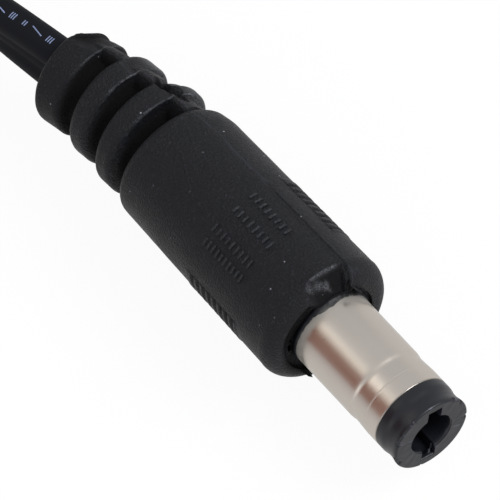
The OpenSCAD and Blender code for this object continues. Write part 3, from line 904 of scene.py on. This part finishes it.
def build_moulding(sizes):
    """The moulding as one mesh, with its shares of pale torn faces and painted glints, and of painted shade, as vertex
    attributes
    """
    rows, corners = moulding_stations(sizes)
    angles = moulding_angles()
    root = sizes.barrel_d / 2
    lip = sizes.body_front_d / 2 - FRONT_ROUNDING
    moat_rows = next(i for i, (t, r) in enumerate(rows) if t == 0)
    marks = {}

    def spot(p):
        return tuple(round(c, 7) for c in p)

    def place(row, raw):
        angle = angles[round(raw / 360 * len(angles)) % len(angles)]
        t, r = rows[row]
        cut = painted_shade = shadow = 0.0
        if row in corners:
            t, r, cut = sharpen_edge(corners[row], t, r, angle)
        if row < moat_rows and r > 0:
            t *= moat_opening(angle)
            if r > root:
                r = min(root + (r - root) * (1 + 0.85 * moat_side(angle)), lip - 0.03)
        elif t == 0 and r < lip:
            r += (lip - r) * 0.9 * moat_side(angle)
        if 0 <= t < 0.4 and root + 0.1 < r:
            # The face dips towards the open moat, and is painted with shade there
            hollow = moat_side(angle) * ease(root + 1.25, root + 0.35, r)
            if row >= moat_rows:
                t += (0.16 + 0.34 * ease(52, 18, abs(off_angle(angle, 338)))) * hollow
            shadow = 0.9 * hollow
        if r > 0:
            t, r, torn, painted_shade = carve_moulding(sizes, t, r, angle)
            cut = max(cut, torn)
            painted_shade = max(painted_shade, shadow)
            p = polar(-t, r, angle)
            calm = 0.011 if t < sizes.body_len - 0.6 else 0.028
            r += calm * wander(p, 1.7, 5) + 0.006 * wander(p, 0.45, 8)
        x, y, z = polar(-t, r, angle)
        p = in_frame(relief_point(sizes, t, y, z) if t > 0 else (x, y, z))
        # Painted shade low in the relief's slots, darkest near the core
        if sizes.body_len + 0.05 < t < relief_length() - 0.3 and r > 1:
            painted_shade = max(painted_shade, ease(3.5, 2.75, r))
        if cut > 0 or painted_shade > 0:
            marks[spot(p)] = (cut, painted_shade)
        return p

    bm = shape_tube(spun_tube(len(rows), len(angles)), place)
    layers = [bm.verts.layers.float.new(name) for name in ("torn_and_glint", "painted_shade")]
    for v in bm.verts:
        for layer, value in zip(layers, marks.get(spot(v.co), (0.0, 0.0))):
            v[layer] = value
    return bm


class PLUG_OT_moulding(bpy.types.Operator):
    """Builds the black moulding with its ribs, webs, grips, parting line and trimmed gate"""

    bl_idname = "plug.moulding"
    bl_label = "Moulding"

    def execute(self, context):
        sizes = context.scene.plug_sizes
        make_piece("moulding", build_moulding(sizes), moulding_material(), ["overmould"])
        return {"FINISHED"}


class PLUG_OT_raised_marks(bpy.types.Operator):
    """Adds four rows of plain raised ticks on top of the moulding, with painted glints along their tops"""

    bl_idname = "plug.raised_marks"
    bl_label = "Raised ticks"

    def execute(self, context):
        sizes = context.scene.plug_sizes
        bm = bmesh.new()
        # (distance to the side, start behind the shoulder, number of ticks, height) of each row
        lanes = ((2.05, 4.75, 8, 0.085), (0.72, 4.65, 8, 0.085), (-1.0, 4.7, 9, 0.068), (-2.0, 4.6, 10, 0.068))
        for lane, (side, start, count, height) in enumerate(lanes):
            for i in range(count):
                t0 = start + i * (4.0 / count)
                lean = 0.05 * wander((i, lane, 0), 1.3)
                width = 0.58 + 0.12 * wander((i, lane, 1), 1.7)

                def wrap(along, across, up):
                    t = t0 + along + lean * across
                    r = body_radius(sizes, t)
                    return in_frame(polar(-t, r - 0.03 + up, math.degrees(math.asin(side / r) + across / r)))

                wrapped_bar(bm, 0.19, width, height, wrap)
        bmesh.ops.recalc_face_normals(bm, faces=bm.faces)
        # Painted glints along the tops of the ticks
        layer = bm.verts.layers.float.new("torn_and_glint")
        for v in bm.verts:
            up = math.hypot(v.co.y / MM, v.co.z / MM - AXIS_Z) - body_radius(sizes, SHOULDER - v.co.x / MM)
            v[layer] = 0.24 * ease(0.012, 0.05, up)
        make_piece("raised_marks", bm, moulding_material())
        return {"FINISHED"}


class PLUG_OT_flash(bpy.types.Operator):
    """Adds the thin film, flake and strands of plastic left round the barrel's root"""

    bl_idname = "plug.flash"
    bl_label = "Moulding flash"

    def execute(self, context):
        root = context.scene.plug_sizes.barrel_d / 2
        make_piece("root_film", self.film(root), film_material())
        make_piece("root_flaps", self.flaps(), moulding_material())
        make_piece("root_flake", self.flake(), moulding_material())
        make_piece("root_threads", self.threads(root), moulding_material())
        return {"FINISHED"}

    def film(self, root):
        """A collar in the moat that thins out over the sleeve with a ragged edge"""
        rows = [(-0.3, -0.04), (-0.3, 0.17), (-0.1, 0.15), (0, 0.09), (0.06, 0.05), (0.12, 0.026), (0.18, 0.014)]
        rows += [(0.22, 0.006), (0.2, -0.04), (-0.3, -0.04)]

        def place(row, angle):
            x, rise = rows[row]
            p = polar(0, root, angle)
            moat = moat_side(angle)
            spread = 0.75 + 0.9 * bell(off_angle(angle, 8), 26) + 0.35 * bell(off_angle(angle, 62), 12)
            if x > -0.2:
                x = (x * spread + 0.1 * wander(p, 1.1, 2) + 0.09 * wander(p, 0.3, 6)) * (1 - 0.5 * moat)
            if rise > 0.01:
                lump = 0.03 * wander(p, 0.5, 3) + 0.02 * wander((3 * x, p[1], p[2]), 0.16, 3)
                rise = rise * (1 - 0.75 * moat) + lump * (1 - 0.6 * moat)
            return in_frame(polar(x, root + rise, angle))

        return shape_tube(spun_tube(len(rows), 300), place)

    def flaps(self):
        """Three curled slivers standing up from the moat"""
        slivers = ((46, 73, 3.7, 3.04, 0.42, 1.0), (50, 79, 3.3, 2.88, 0.26, 2.3), (43, 50, 3.9, 3.1, 0.34, 0.4))
        bm = bmesh.new()
        for start, end, r_start, r_end, height, wave in slivers:

            def bend(a, b):
                f, rise = a + 0.5, b + 0.5
                r = r_start + (r_end - r_start) * f**0.8 + 0.05 * math.sin(7 * f + wave)
                r -= 0.16 * rise * rise * math.sin(3 * f + wave)
                ragged = 1 + 0.35 * wander((f * 2, wave, 0), 0.3, 5)
                top = height * math.sin(math.pi * clamp(0.12 + 0.8 * f)) * ragged
                return in_frame(polar(-0.12 + (0.12 + top) * rise, r, start + (end - start) * f))

            absorb(bm, bent_sheet(18, 5, 0.045, bend))
        return bm

    def flake(self):
        """One broad leaf on the moat's far lower side"""

        def bend(a, b):
            f = a + 0.5
            x = -0.12 + 0.62 * f + 0.05 * wander((f, b, 1), 0.25)
            width = 0.85 - 0.35 * f + 0.12 * wander((f, b, 0), 0.3)
            return in_frame(polar(x, 3.42 + 0.1 * f + 0.07 * math.sin(3 * f + 2 * b), -122 + b * width * 16))

        return bent_sheet(8, 6, 0.05, bend)

    def threads(self, root):
        """Three fine strands drawn out of the moat"""
        bm = bmesh.new()
        for k, (angle, reach, lift) in enumerate(((52, 0.55, 0.3), (63, 0.35, 0.22), (74, 0.45, 0.12))):

            def place(row, raw):
                f = row / 13
                thick = 0.028 * (1 - 0.7 * f) if 0 < row < 13 else 0
                x = -0.2 + reach * f + 0.06 * math.sin(5 * f + k)
                r = root + 0.1 + lift * f * (1 - 0.4 * f)
                centre = Vector(polar(x, r, angle + 7 * f + 3 * math.sin(4 * f + 2 * k)))
                return in_frame(centre + Vector(polar(0, 1, raw)) * thick)

            absorb(bm, shape_tube(spun_tube(14, 6), place))
        return bm


class PLUG_OT_barrel(bpy.types.Operator):
    """Builds the nickel sleeve with its rolled band, lip and buried flange"""

    bl_idname = "plug.barrel"
    bl_label = "Barrel sleeve"

    def execute(self, context):
        r0 = context.scene.plug_sizes.barrel_d / 2
        front, lip, inner = SLEEVE_FRONT, 0.08, r0 - SLEEVE_WALL

        def outside(x):
            """The sleeve's outer radius, with a groove that fades out towards the front of the rolled band"""
            u = (x - BAND_BACK) / (BAND_FRONT - BAND_BACK)
            groove = 0.085 * ease(-0.3, 0.16, u) * (1 - 0.9 * max(u, 0)) if u < 1 else 0
            return r0 - groove - 0.02 * bell(x - BAND_FRONT, 0.035)

        rows = [(front, inner), (front, r0 - 0.18)]
        rows += rounded_edge(front - lip, r0 - lip, lip, 180, 90, 6)
        for a, b, step in ((front - lip, front - 1, 0.12), (front - 1, front - 2.6, 0.03), (front - 2.6, 0, 0.2)):
            rows += [(x, outside(x)) for x in spaced(a, b, step)]
        rows += [(-0.45, r0 + 0.02), (-0.45, r0 + 0.25), (-3.9, r0 + 0.25), (-3.9, r0 + 0.55), (-BURIED, r0 + 0.55)]
        rows += [(-BURIED, inner), (BAND_BACK, inner), (front - 1.8, r0 - 0.37), (BAND_FRONT, inner), (front, inner)]

        def place(row, angle):
            x, r = rows[row]
            if 0 < x < front - lip and r > r0 - 0.1:
                r += 0.004 * wander(polar(x, r, angle), 2.6, 4)
            return in_frame(polar(x, r, angle))

        bm = shape_tube(spun_tube(len(rows), 144), place)
        make_piece("barrel", bm, nickel_material(), ["barrel_sleeve"], sharp=50)
        return {"FINISHED"}


class PLUG_OT_tip(bpy.types.Operator):
    """Builds the tip insulator with its bore, fork slot and scuffed face"""

    bl_idname = "plug.tip"
    bl_label = "Tip insulator"

    def execute(self, context):
        sizes = context.scene.plug_sizes
        r0, bore = sizes.barrel_d / 2, sizes.bore_d / 2
        core, rounding, mouth = 2.4, 0.13, TIP - 3.3
        face = r0 - rounding

        def slot_reach(angle):
            """How far the fork's slot reaches from the axis at this angle"""
            d = math.radians(abs(off_angle(angle, FORK_ROLL)))
            d = min(d, math.pi - d)
            return min(2.15 / max(math.cos(d), 0.01), 0.5 / max(math.sin(d), 0.01))

        front = SLEEVE_FRONT + 0.01
        side = [(-BURIED, 0), (-BURIED, core), (SLEEVE_FRONT - 0.4, core), (front, core), (front, r0 - 0.03)]
        side.append((SLEEVE_FRONT + 0.04, r0))
        for x in spaced(SLEEVE_FRONT + 0.04, TIP - rounding, 0.1):
            waist = ease(SLEEVE_FRONT + 0.45, SLEEVE_FRONT + 1.0, x) * ease(TIP - rounding, TIP - 0.75, x)
            side.append((x, r0 - 0.085 * waist))
        side += rounded_edge(TIP - rounding, face, rounding, 105, 180, 5)
        # Inside, r counts from the bore's wall, and the last row closes on the axis
        hollow = [(TIP - 0.03, 0.05), (TIP - 0.07, 0.015), (TIP - 0.12, 0)]
        hollow += [(x, 0) for x in spaced(TIP - 0.12, mouth, 0.3)]
        hollow += [(x, -0.175) for x in (mouth, 2, 0.5)] + [(0.5, None)]
        rows = [(*row, "side") for row in side]
        rows += [(TIP, share, "face") for share in spaced(0, 1, 0.125)]
        rows += [(*row, "hollow") for row in hollow]

        def place(row, angle):
            x, r, part = rows[row]
            p = polar(x, 3, angle)
            rough = 0.012 * wander(p, 0.3, 2)
            if part == "face":
                hole = max(bore, slot_reach(angle)) + rough
                r = face + (hole + 0.085 - face) * r
                if r > hole + 0.12:
                    x -= 0.012 * (0.5 + wander((r, angle / 20, 0), 0.5, 3))
            elif part == "hollow":
                r = 0 if r is None else max(bore + r, slot_reach(angle)) + max(r, 0) + rough
            elif x > TIP - rounding - 0.01:
                nick = max(0, wander(p, 0.42, 11) - 0.22) * 0.3
                r -= nick
                x -= nick * 0.7
            return in_frame(polar(x, r, angle))

        def bend(a, b):
            return in_frame(polar(TIP - 0.16 + 0.12 * math.sin(4 * a) + 0.05 * b, 1.62 + 0.3 * b, 203 + a * 17))

        tip = shape_tube(spun_tube(len(rows), 360), place)
        make_piece("tip", tip, tip_material(), ["tip_insulator"], sharp=42)
        # Shaving left in the lower notch
        make_piece("tip_shaving", bent_sheet(6, 4, 0.04, bend), tip_material())
        return {"FINISHED"}


# The lead


def framed(path):
    """Adds the directions of width and thickness to (point, roll) stops"""
    out = []
    last = len(path) - 1
    for i, (point, roll) in enumerate(path):
        before, after = Vector(path[max(i - 1, 0)][0]), Vector(path[min(i + 1, last)][0])
        along = (after - before).normalized()
        up = (Vector((0, 0, 1)) - along.z * along).normalized()
        side = along.cross(up)
        a = math.radians(roll)
        out.append((Vector(point), up * math.cos(a) + side * math.sin(a), side * math.cos(a) - up * math.sin(a)))
    return out


def twin_radius(s, angle):
    """Outline of the two joined cores, by angle from the width direction"""
    neck = 0.93
    a = math.radians(angle)
    c, r = s.core_pitch / 2, s.core_d / 2
    lobe = c * abs(math.cos(a)) + math.sqrt(max(r * r - (c * math.sin(a)) ** 2, 0))
    return lobe if lobe > neck + 0.12 else max(neck, neck + (lobe - neck) * 0.6)


def swept(stops, steps, radius):
    """A closed sweep of radius(row, angle) along framed stops, with a pole at each end"""
    last = len(stops) - 1

    def place(row, angle):
        i = min(max(row - 1, 0), last)
        point, wide, thick = stops[i]
        r = 0 if row in (0, last + 2) else radius(i, angle)
        a = math.radians(angle)
        return (point + wide * (r * math.cos(a)) + thick * (r * math.sin(a))) * MM

    return shape_tube(spun_tube(len(stops) + 2, steps), place)


class PLUG_OT_lead(bpy.types.Operator):
    """Sweeps the two-core lead from the relief through its folded hank, with its marks, tie and bared ends"""

    bl_idname = "plug.lead"
    bl_label = "Lead"

    def execute(self, context):
        s = context.scene.lead_sizes
        route = whole_route()
        first, second = Vector(route[0][0]), Vector(route[1][0])
        inside = first + (first - second).normalized() * 0.34
        stops = framed([(tuple(inside), route[0][1])] + route)

        def outline(i, angle):
            return twin_radius(s, angle) * (1 + 0.006 * wander(stops[i][0] * 0.4, 1, 3))

        sheath = swept(stops, 44, outline)
        lead = make_piece("lead", sheath, sheath_material(), ["cable", "cable_hank"])
        marks = self.marks(context, stops)
        tie = self.tie()
        ends = self.ends(s, route)
        return {"FINISHED"}

    def marks(self, context, stops):
        """Plain printed dashes along the upper core"""
        s = context.scene.lead_sizes
        bm = bmesh.new()
        lengths = [0.0]
        for a, b in zip(stops, stops[1:]):
            lengths.append(lengths[-1] + (b[0] - a[0]).length)

        def at(u):
            i = max(j for j, length in enumerate(lengths) if length <= u)
            f = (u - lengths[i]) / (lengths[i + 1] - lengths[i])
            return [a.lerp(b, f) for a, b in zip(stops[i], stops[i + 1])]

        r = s.core_d / 2
        dashes = []
        for k in range(6):
            base = 1.5 + 3.1 * k
            dashes += [(base + 0.17 * i, 0.07, 0.46, 0) for i in range(3)] + [(base + 1.25, 0.95, 0.08, 0.28)]
            dashes += [(base + 2.2 + 0.17 * i, 0.07, 0.36, 0) for i in range(2)]
        for start, length, width, lean in dashes:

            def wrap(along, across, up):
                point, wide, thick = at(start + along)
                b = math.radians(-16) + (across + lean * along) / r
                out = r - 0.02 + up
                return (point + wide * (s.core_pitch / 2 + out * math.cos(b)) + thick * (out * math.sin(b))) * MM

            wrapped_bar(bm, length, width, 0.03, wrap)
        bmesh.ops.recalc_face_normals(bm, faces=bm.faces)
        ink = plain_material("lead_ink", context.scene.plug_finish.print_tint, 0.0, 0.6)
        return make_piece("lead_marks", bm, ink)

    def tie(self):
        """A flat band round the hank's waist, with its twisted tails pressed down on top"""
        lo, hi = (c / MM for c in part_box("hank_tie"))
        centre, half = (lo + hi) / 2, (hi - lo) / 2
        # Half of the band's outline: distance from its middle, and growth outwards
        edge = [(half.x, -0.34), (half.x, -0.06), (half.x * 0.85, 0), (0.35, -0.02), (0.2, 0)]
        rows = [(-x, grow) for x, grow in edge] + edge[::-1] + [(-half.x, -0.34)]
        power = 9

        def band(row, angle):
            x, grow = rows[row]
            side, up = math.sin(math.radians(angle)), math.cos(math.radians(angle))
            r = ((abs(up) / half.z) ** power + (abs(side) / half.y) ** power) ** (-1 / power) + grow
            x += 0.05 * wander((0, r * abs(side), r * abs(up)), 2.2)
            return (centre + Vector((x, r * side, r * up))) * MM

        def twist(row, raw):
            f = (row - 1) / 57
            wide, thin = (0, 0) if row in (0, 59) else (0.62, 0.3)
            spin = math.radians(900 * clamp(f))
            x = centre.x - 1.0 + 9.5 * clamp(f)
            y = centre.y + 1.2 * math.sin(2.2 * clamp(f)) - 0.4
            z = hi.z + 0.55 - 0.75 * ease(0.35, 1, f)
            side, up = math.cos(math.radians(raw)) * wide, math.sin(math.radians(raw)) * thin
            y += side * math.cos(spin) - up * math.sin(spin)
            return Vector((x, y, z + (side * math.sin(spin) + up * math.cos(spin)) * 0.8)) * MM

        bm = shape_tube(spun_tube(len(rows), 96), band)
        absorb(bm, shape_tube(spun_tube(60, 12), twist))
        return make_piece(
            "tie_band", bm, plain_material("pale_tie", (0.62, 0.62, 0.58), 0.0, 0.45), ["hank_tie"], sharp=40
        )

    def ends(self, s, route):
        """The two parted cores and their tinned strands"""
        tail = Vector(route[-1][0])
        sheath, tin = sheath_material(), plain_material("tinned_strands", (0.72, 0.71, 0.69), 1.0, 0.3)
        out = []
        for side, label in ((-1, "centre"), (1, "sleeve")):

            def on_arc(start, length, parts):
                """Stops along the arc on which this core parts from the other"""
                stops = []
                for i in range(parts + 1):
                    a = (start + length * i / parts) / SPLIT_R
                    y = tail.y + side * (s.core_d / 2 + SPLIT_R * (1 - math.cos(a)))
                    stops.append(((tail.x - SPLIT_R * math.sin(a), y, tail.z), 0))
                return framed(stops)

            core = swept(on_arc(0, SPLIT_LEN, 14), 28, lambda i, a: s.core_d / 2 * (1 - 0.03 * (i == 14)))
            out.append(make_piece("bared_core_" + label, core, sheath, ["end_core_" + label]))

            def lay(i, angle):
                lobe = abs(math.sin(math.radians(3.5 * angle + 18 * i)))
                return 0.5 * (0.84 + 0.16 * lobe) * (1 - 0.1 * (i > 38))

            strands = swept(on_arc(SPLIT_LEN - 0.4, BARE_LEN + 0.4, 40), 56, lay)
            out.append(make_piece("bared_strands_" + label, strands, tin, ["end_strands_" + label]))
        return out


class PLUG_OT_inner_parts(bpy.types.Operator):
    """Gives the contacts, washer, solder and cores inside the moulding their finishes"""

    bl_idname = "plug.inner_parts"
    bl_label = "Inner parts"

    def execute(self, context):
        gold = plain_material("contact_brass", (0.72, 0.53, 0.24), 1.0, 0.28)
        solder = plain_material("solder_joint", (0.66, 0.66, 0.68), 1.0, 0.34, fine=900.0)
        copper = plain_material("copper_strands", (0.72, 0.36, 0.22), 1.0, 0.32, fine=1800.0)
        board = plain_material("fibre_washer", (0.035, 0.034, 0.033), 0.0, 0.7)
        finishes = {
            "centre_contact": gold,
            "ring_terminal": gold,
            "rear_washer": board,
            "solder_centre": solder,
            "solder_sleeve": solder,
            "strands_centre": copper,
            "strands_sleeve": copper,
            "core_insulation": sheath_material(),
        }
        for name, material in finishes.items():
            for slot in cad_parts[name].material_slots:
                slot.material = material
        return {"FINISHED"}


# Camera, floor and light. Lamps, cards and the floor are placed and sized in metres


def area_light(name, place, target, size, watts, colour=(1, 1, 1)):
    """A soft box at place that faces target"""
    data = bpy.data.lights.new(name, "AREA")
    data.shape = "RECTANGLE"
    data.size, data.size_y = size
    data.energy = watts
    data.color = colour
    back = (place - target).normalized()
    right = Vector((0, 0, 1)).cross(back).normalized()
    lamp = scene_object(name, data)
    lamp.matrix_world = Matrix((right, back.cross(right), back)).transposed().to_4x4()
    lamp.location = place


def stage_sheet(name, place, shade):
    """A flat sheet with its corners at place(a, b), wearing the shader that shade(tree) gives"""
    bm = bmesh.new()
    bmesh.ops.create_grid(bm, x_segments=1, y_segments=1, size=0.5)
    for v in bm.verts:
        v.co = place(v.co.x, v.co.y)
    mesh = bpy.data.meshes.new(name)
    bm.to_mesh(mesh)
    bm.free()
    m = bpy.data.materials.new(name)
    m.use_nodes = True
    m.node_tree.nodes.clear()
    node(m.node_tree, "ShaderNodeOutputMaterial", {"Surface": shade(m.node_tree)})
    mesh.materials.append(m)
    return scene_object(name, mesh)


def glossy_card(name, direction, size, colour):
    """A card that only polished surfaces see, as the room round the plug"""
    centre = in_frame((4, 0, 0))
    back = Vector(direction).normalized()
    along = (Vector((1, 0, 0)) - back.x * back).normalized()
    turn = Matrix((along, back.cross(along), back)).transposed()

    def place(a, b):
        return centre + back * CARD_DISTANCE + turn @ Vector((a * size[0], b * size[1], 0))

    def shade(tree):
        return node(tree, "ShaderNodeEmission", {"Color": (*colour, 1), "Strength": 1.0}).outputs[0]

    card = stage_sheet(name, place, shade)
    card.visible_camera = card.visible_diffuse = card.visible_shadow = card.visible_transmission = False


class PLUG_OT_stage(bpy.types.Operator):
    """Sets the camera, the pale floor, the soft lights and the surroundings"""

    bl_idname = "plug.stage"
    bl_label = "Stage"

    def execute(self, context):
        scene = context.scene
        scene.view_settings.view_transform = "Standard"
        self.camera(scene)
        self.floor(scene.plug_finish.backdrop)
        self.light(scene)
        return {"FINISHED"}

    def camera(self, scene):
        data = bpy.data.cameras.new("camera")
        data.lens, data.sensor_width = 520, 36
        data.clip_start, data.clip_end = 0.01, 20
        camera = scene_object("camera", data)
        tilt, roll = math.radians(VIEW_TILT), math.radians(VIEW_ROLL)
        back = Vector((math.cos(tilt), 0, math.sin(tilt)))
        level, rise = Vector((0, 1, 0)), Vector((-math.sin(tilt), 0, math.cos(tilt)))
        right = level * math.cos(roll) - rise * math.sin(roll)
        up = level * math.sin(roll) + rise * math.cos(roll)
        camera.matrix_world = Matrix((right, up, back)).transposed().to_4x4()
        camera.location = in_frame(VIEW_CENTRE) + back * (VIEW_WIDTH * MM * data.lens / data.sensor_width)
        scene.camera = camera

    def floor(self, white):
        def shade(tree):
            """Glows to whatever looks straight at it, and takes light as a matt white floor otherwise"""
            seen = tree.nodes.new("ShaderNodeLightPath").outputs
            glossy = seen["Is Glossy Ray"]
            looked_at = maths(tree, "ADD", seen["Is Camera Ray"], glossy)
            looked_at = maths(tree, "ADD", looked_at, seen["Is Transmission Ray"])
            share = node(tree, "ShaderNodeMath", {0: looked_at, 1: 0.93}, operation="MULTIPLY", use_clamp=True)
            dim = maths(tree, "MULTIPLY_ADD", glossy, -0.22, 1.0)
            glow = node(tree, "ShaderNodeEmission", {"Color": (white, white, white, 1), "Strength": dim})
            matt = node(tree, "ShaderNodeBsdfDiffuse", {"Color": (0.86, 0.86, 0.86, 1)})
            mix = node(tree, "ShaderNodeMixShader", {0: share.outputs[0], 1: matt.outputs[0], 2: glow.outputs[0]})
            return mix.outputs[0]

        stage_sheet("floor", lambda a, b: (3 * a, 3 * b, 0), shade)

    def light(self, scene):
        world = bpy.data.worlds.new("room")
        scene.world = world
        world.use_nodes = True
        tree = world.node_tree
        seen = tree.nodes.new("ShaderNodeLightPath").outputs["Is Camera Ray"]
        feed(tree, tree.nodes["Background"], {"Color": blend_colour(tree, seen, (0.68, 0.69, 0.715, 1), (1, 1, 1, 1))})
        target = in_frame((-6, 0, 0))
        area_light("key_softbox", target + Vector((0.3, 0.38, 0.38)), target, (0.3, 0.26), 3.2, (0.98, 0.985, 1.0))
        area_light("fill_softbox", target + Vector((0.15, -0.45, 0.25)), target, (0.3, 0.3), 0.5)
        glossy_card("brown_room", (-0.478, -0.642, 0.599), (0.2, 0.24), (0.26, 0.085, 0.045))
        glossy_card("bright_strip", (-0.478, -0.215, 0.852), (0.2, 0.095), (1.0, 0.965, 0.9))
        glossy_card("high_window", (-0.64, -0.18, 0.747), (0.075, 0.13), (2.4, 2.35, 2.25))


class PLUG_PT_panel(bpy.types.Panel):
    """Lists the plug's steps, sizes and finishes"""

    bl_idname = "PLUG_PT_panel"
    bl_label = "Barrel plug"
    bl_space_type = "VIEW_3D"
    bl_region_type = "UI"
    bl_category = "Barrel plug"

    def draw(self, context):
        column = self.layout.column(align=True)
        for operator in OPERATORS:
            column.operator(operator.bl_idname)
        for name in GROUPS:
            group = getattr(context.scene, name)
            box = self.layout.box()
            for key in group.bl_rna.properties.keys():
                if key not in ("rna_type", "name"):
                    box.prop(group, key)


OPERATORS = (
    PLUG_OT_stage,
    PLUG_OT_lead,
    PLUG_OT_moulding,
    PLUG_OT_raised_marks,
    PLUG_OT_flash,
    PLUG_OT_barrel,
    PLUG_OT_tip,
    PLUG_OT_inner_parts,
)
GROUPS = {"plug_sizes": PlugSizes, "lead_sizes": LeadSizes, "plug_finish": PlugFinish}


def register():
    for name, group in GROUPS.items():
        bpy.utils.register_class(group)
        setattr(bpy.types.Scene, name, PointerProperty(type=group))
    for cls in OPERATORS + (PLUG_PT_panel,):
        bpy.utils.register_class(cls)


def unregister():
    for cls in (PLUG_PT_panel,) + OPERATORS:
        bpy.utils.unregister_class(cls)
    for name, group in GROUPS.items():
        delattr(bpy.types.Scene, name)
        bpy.utils.unregister_class(group)


def main():
    register()
    bpy.ops.plug.stage()
    bpy.ops.plug.lead()
    bpy.ops.plug.moulding()
    bpy.ops.plug.raised_marks()
    bpy.ops.plug.flash()
    bpy.ops.plug.barrel()
    bpy.ops.plug.tip()
    bpy.ops.plug.inner_parts()
    bpy.context.view_layer.update()


if __name__ == "__main__":
    main()
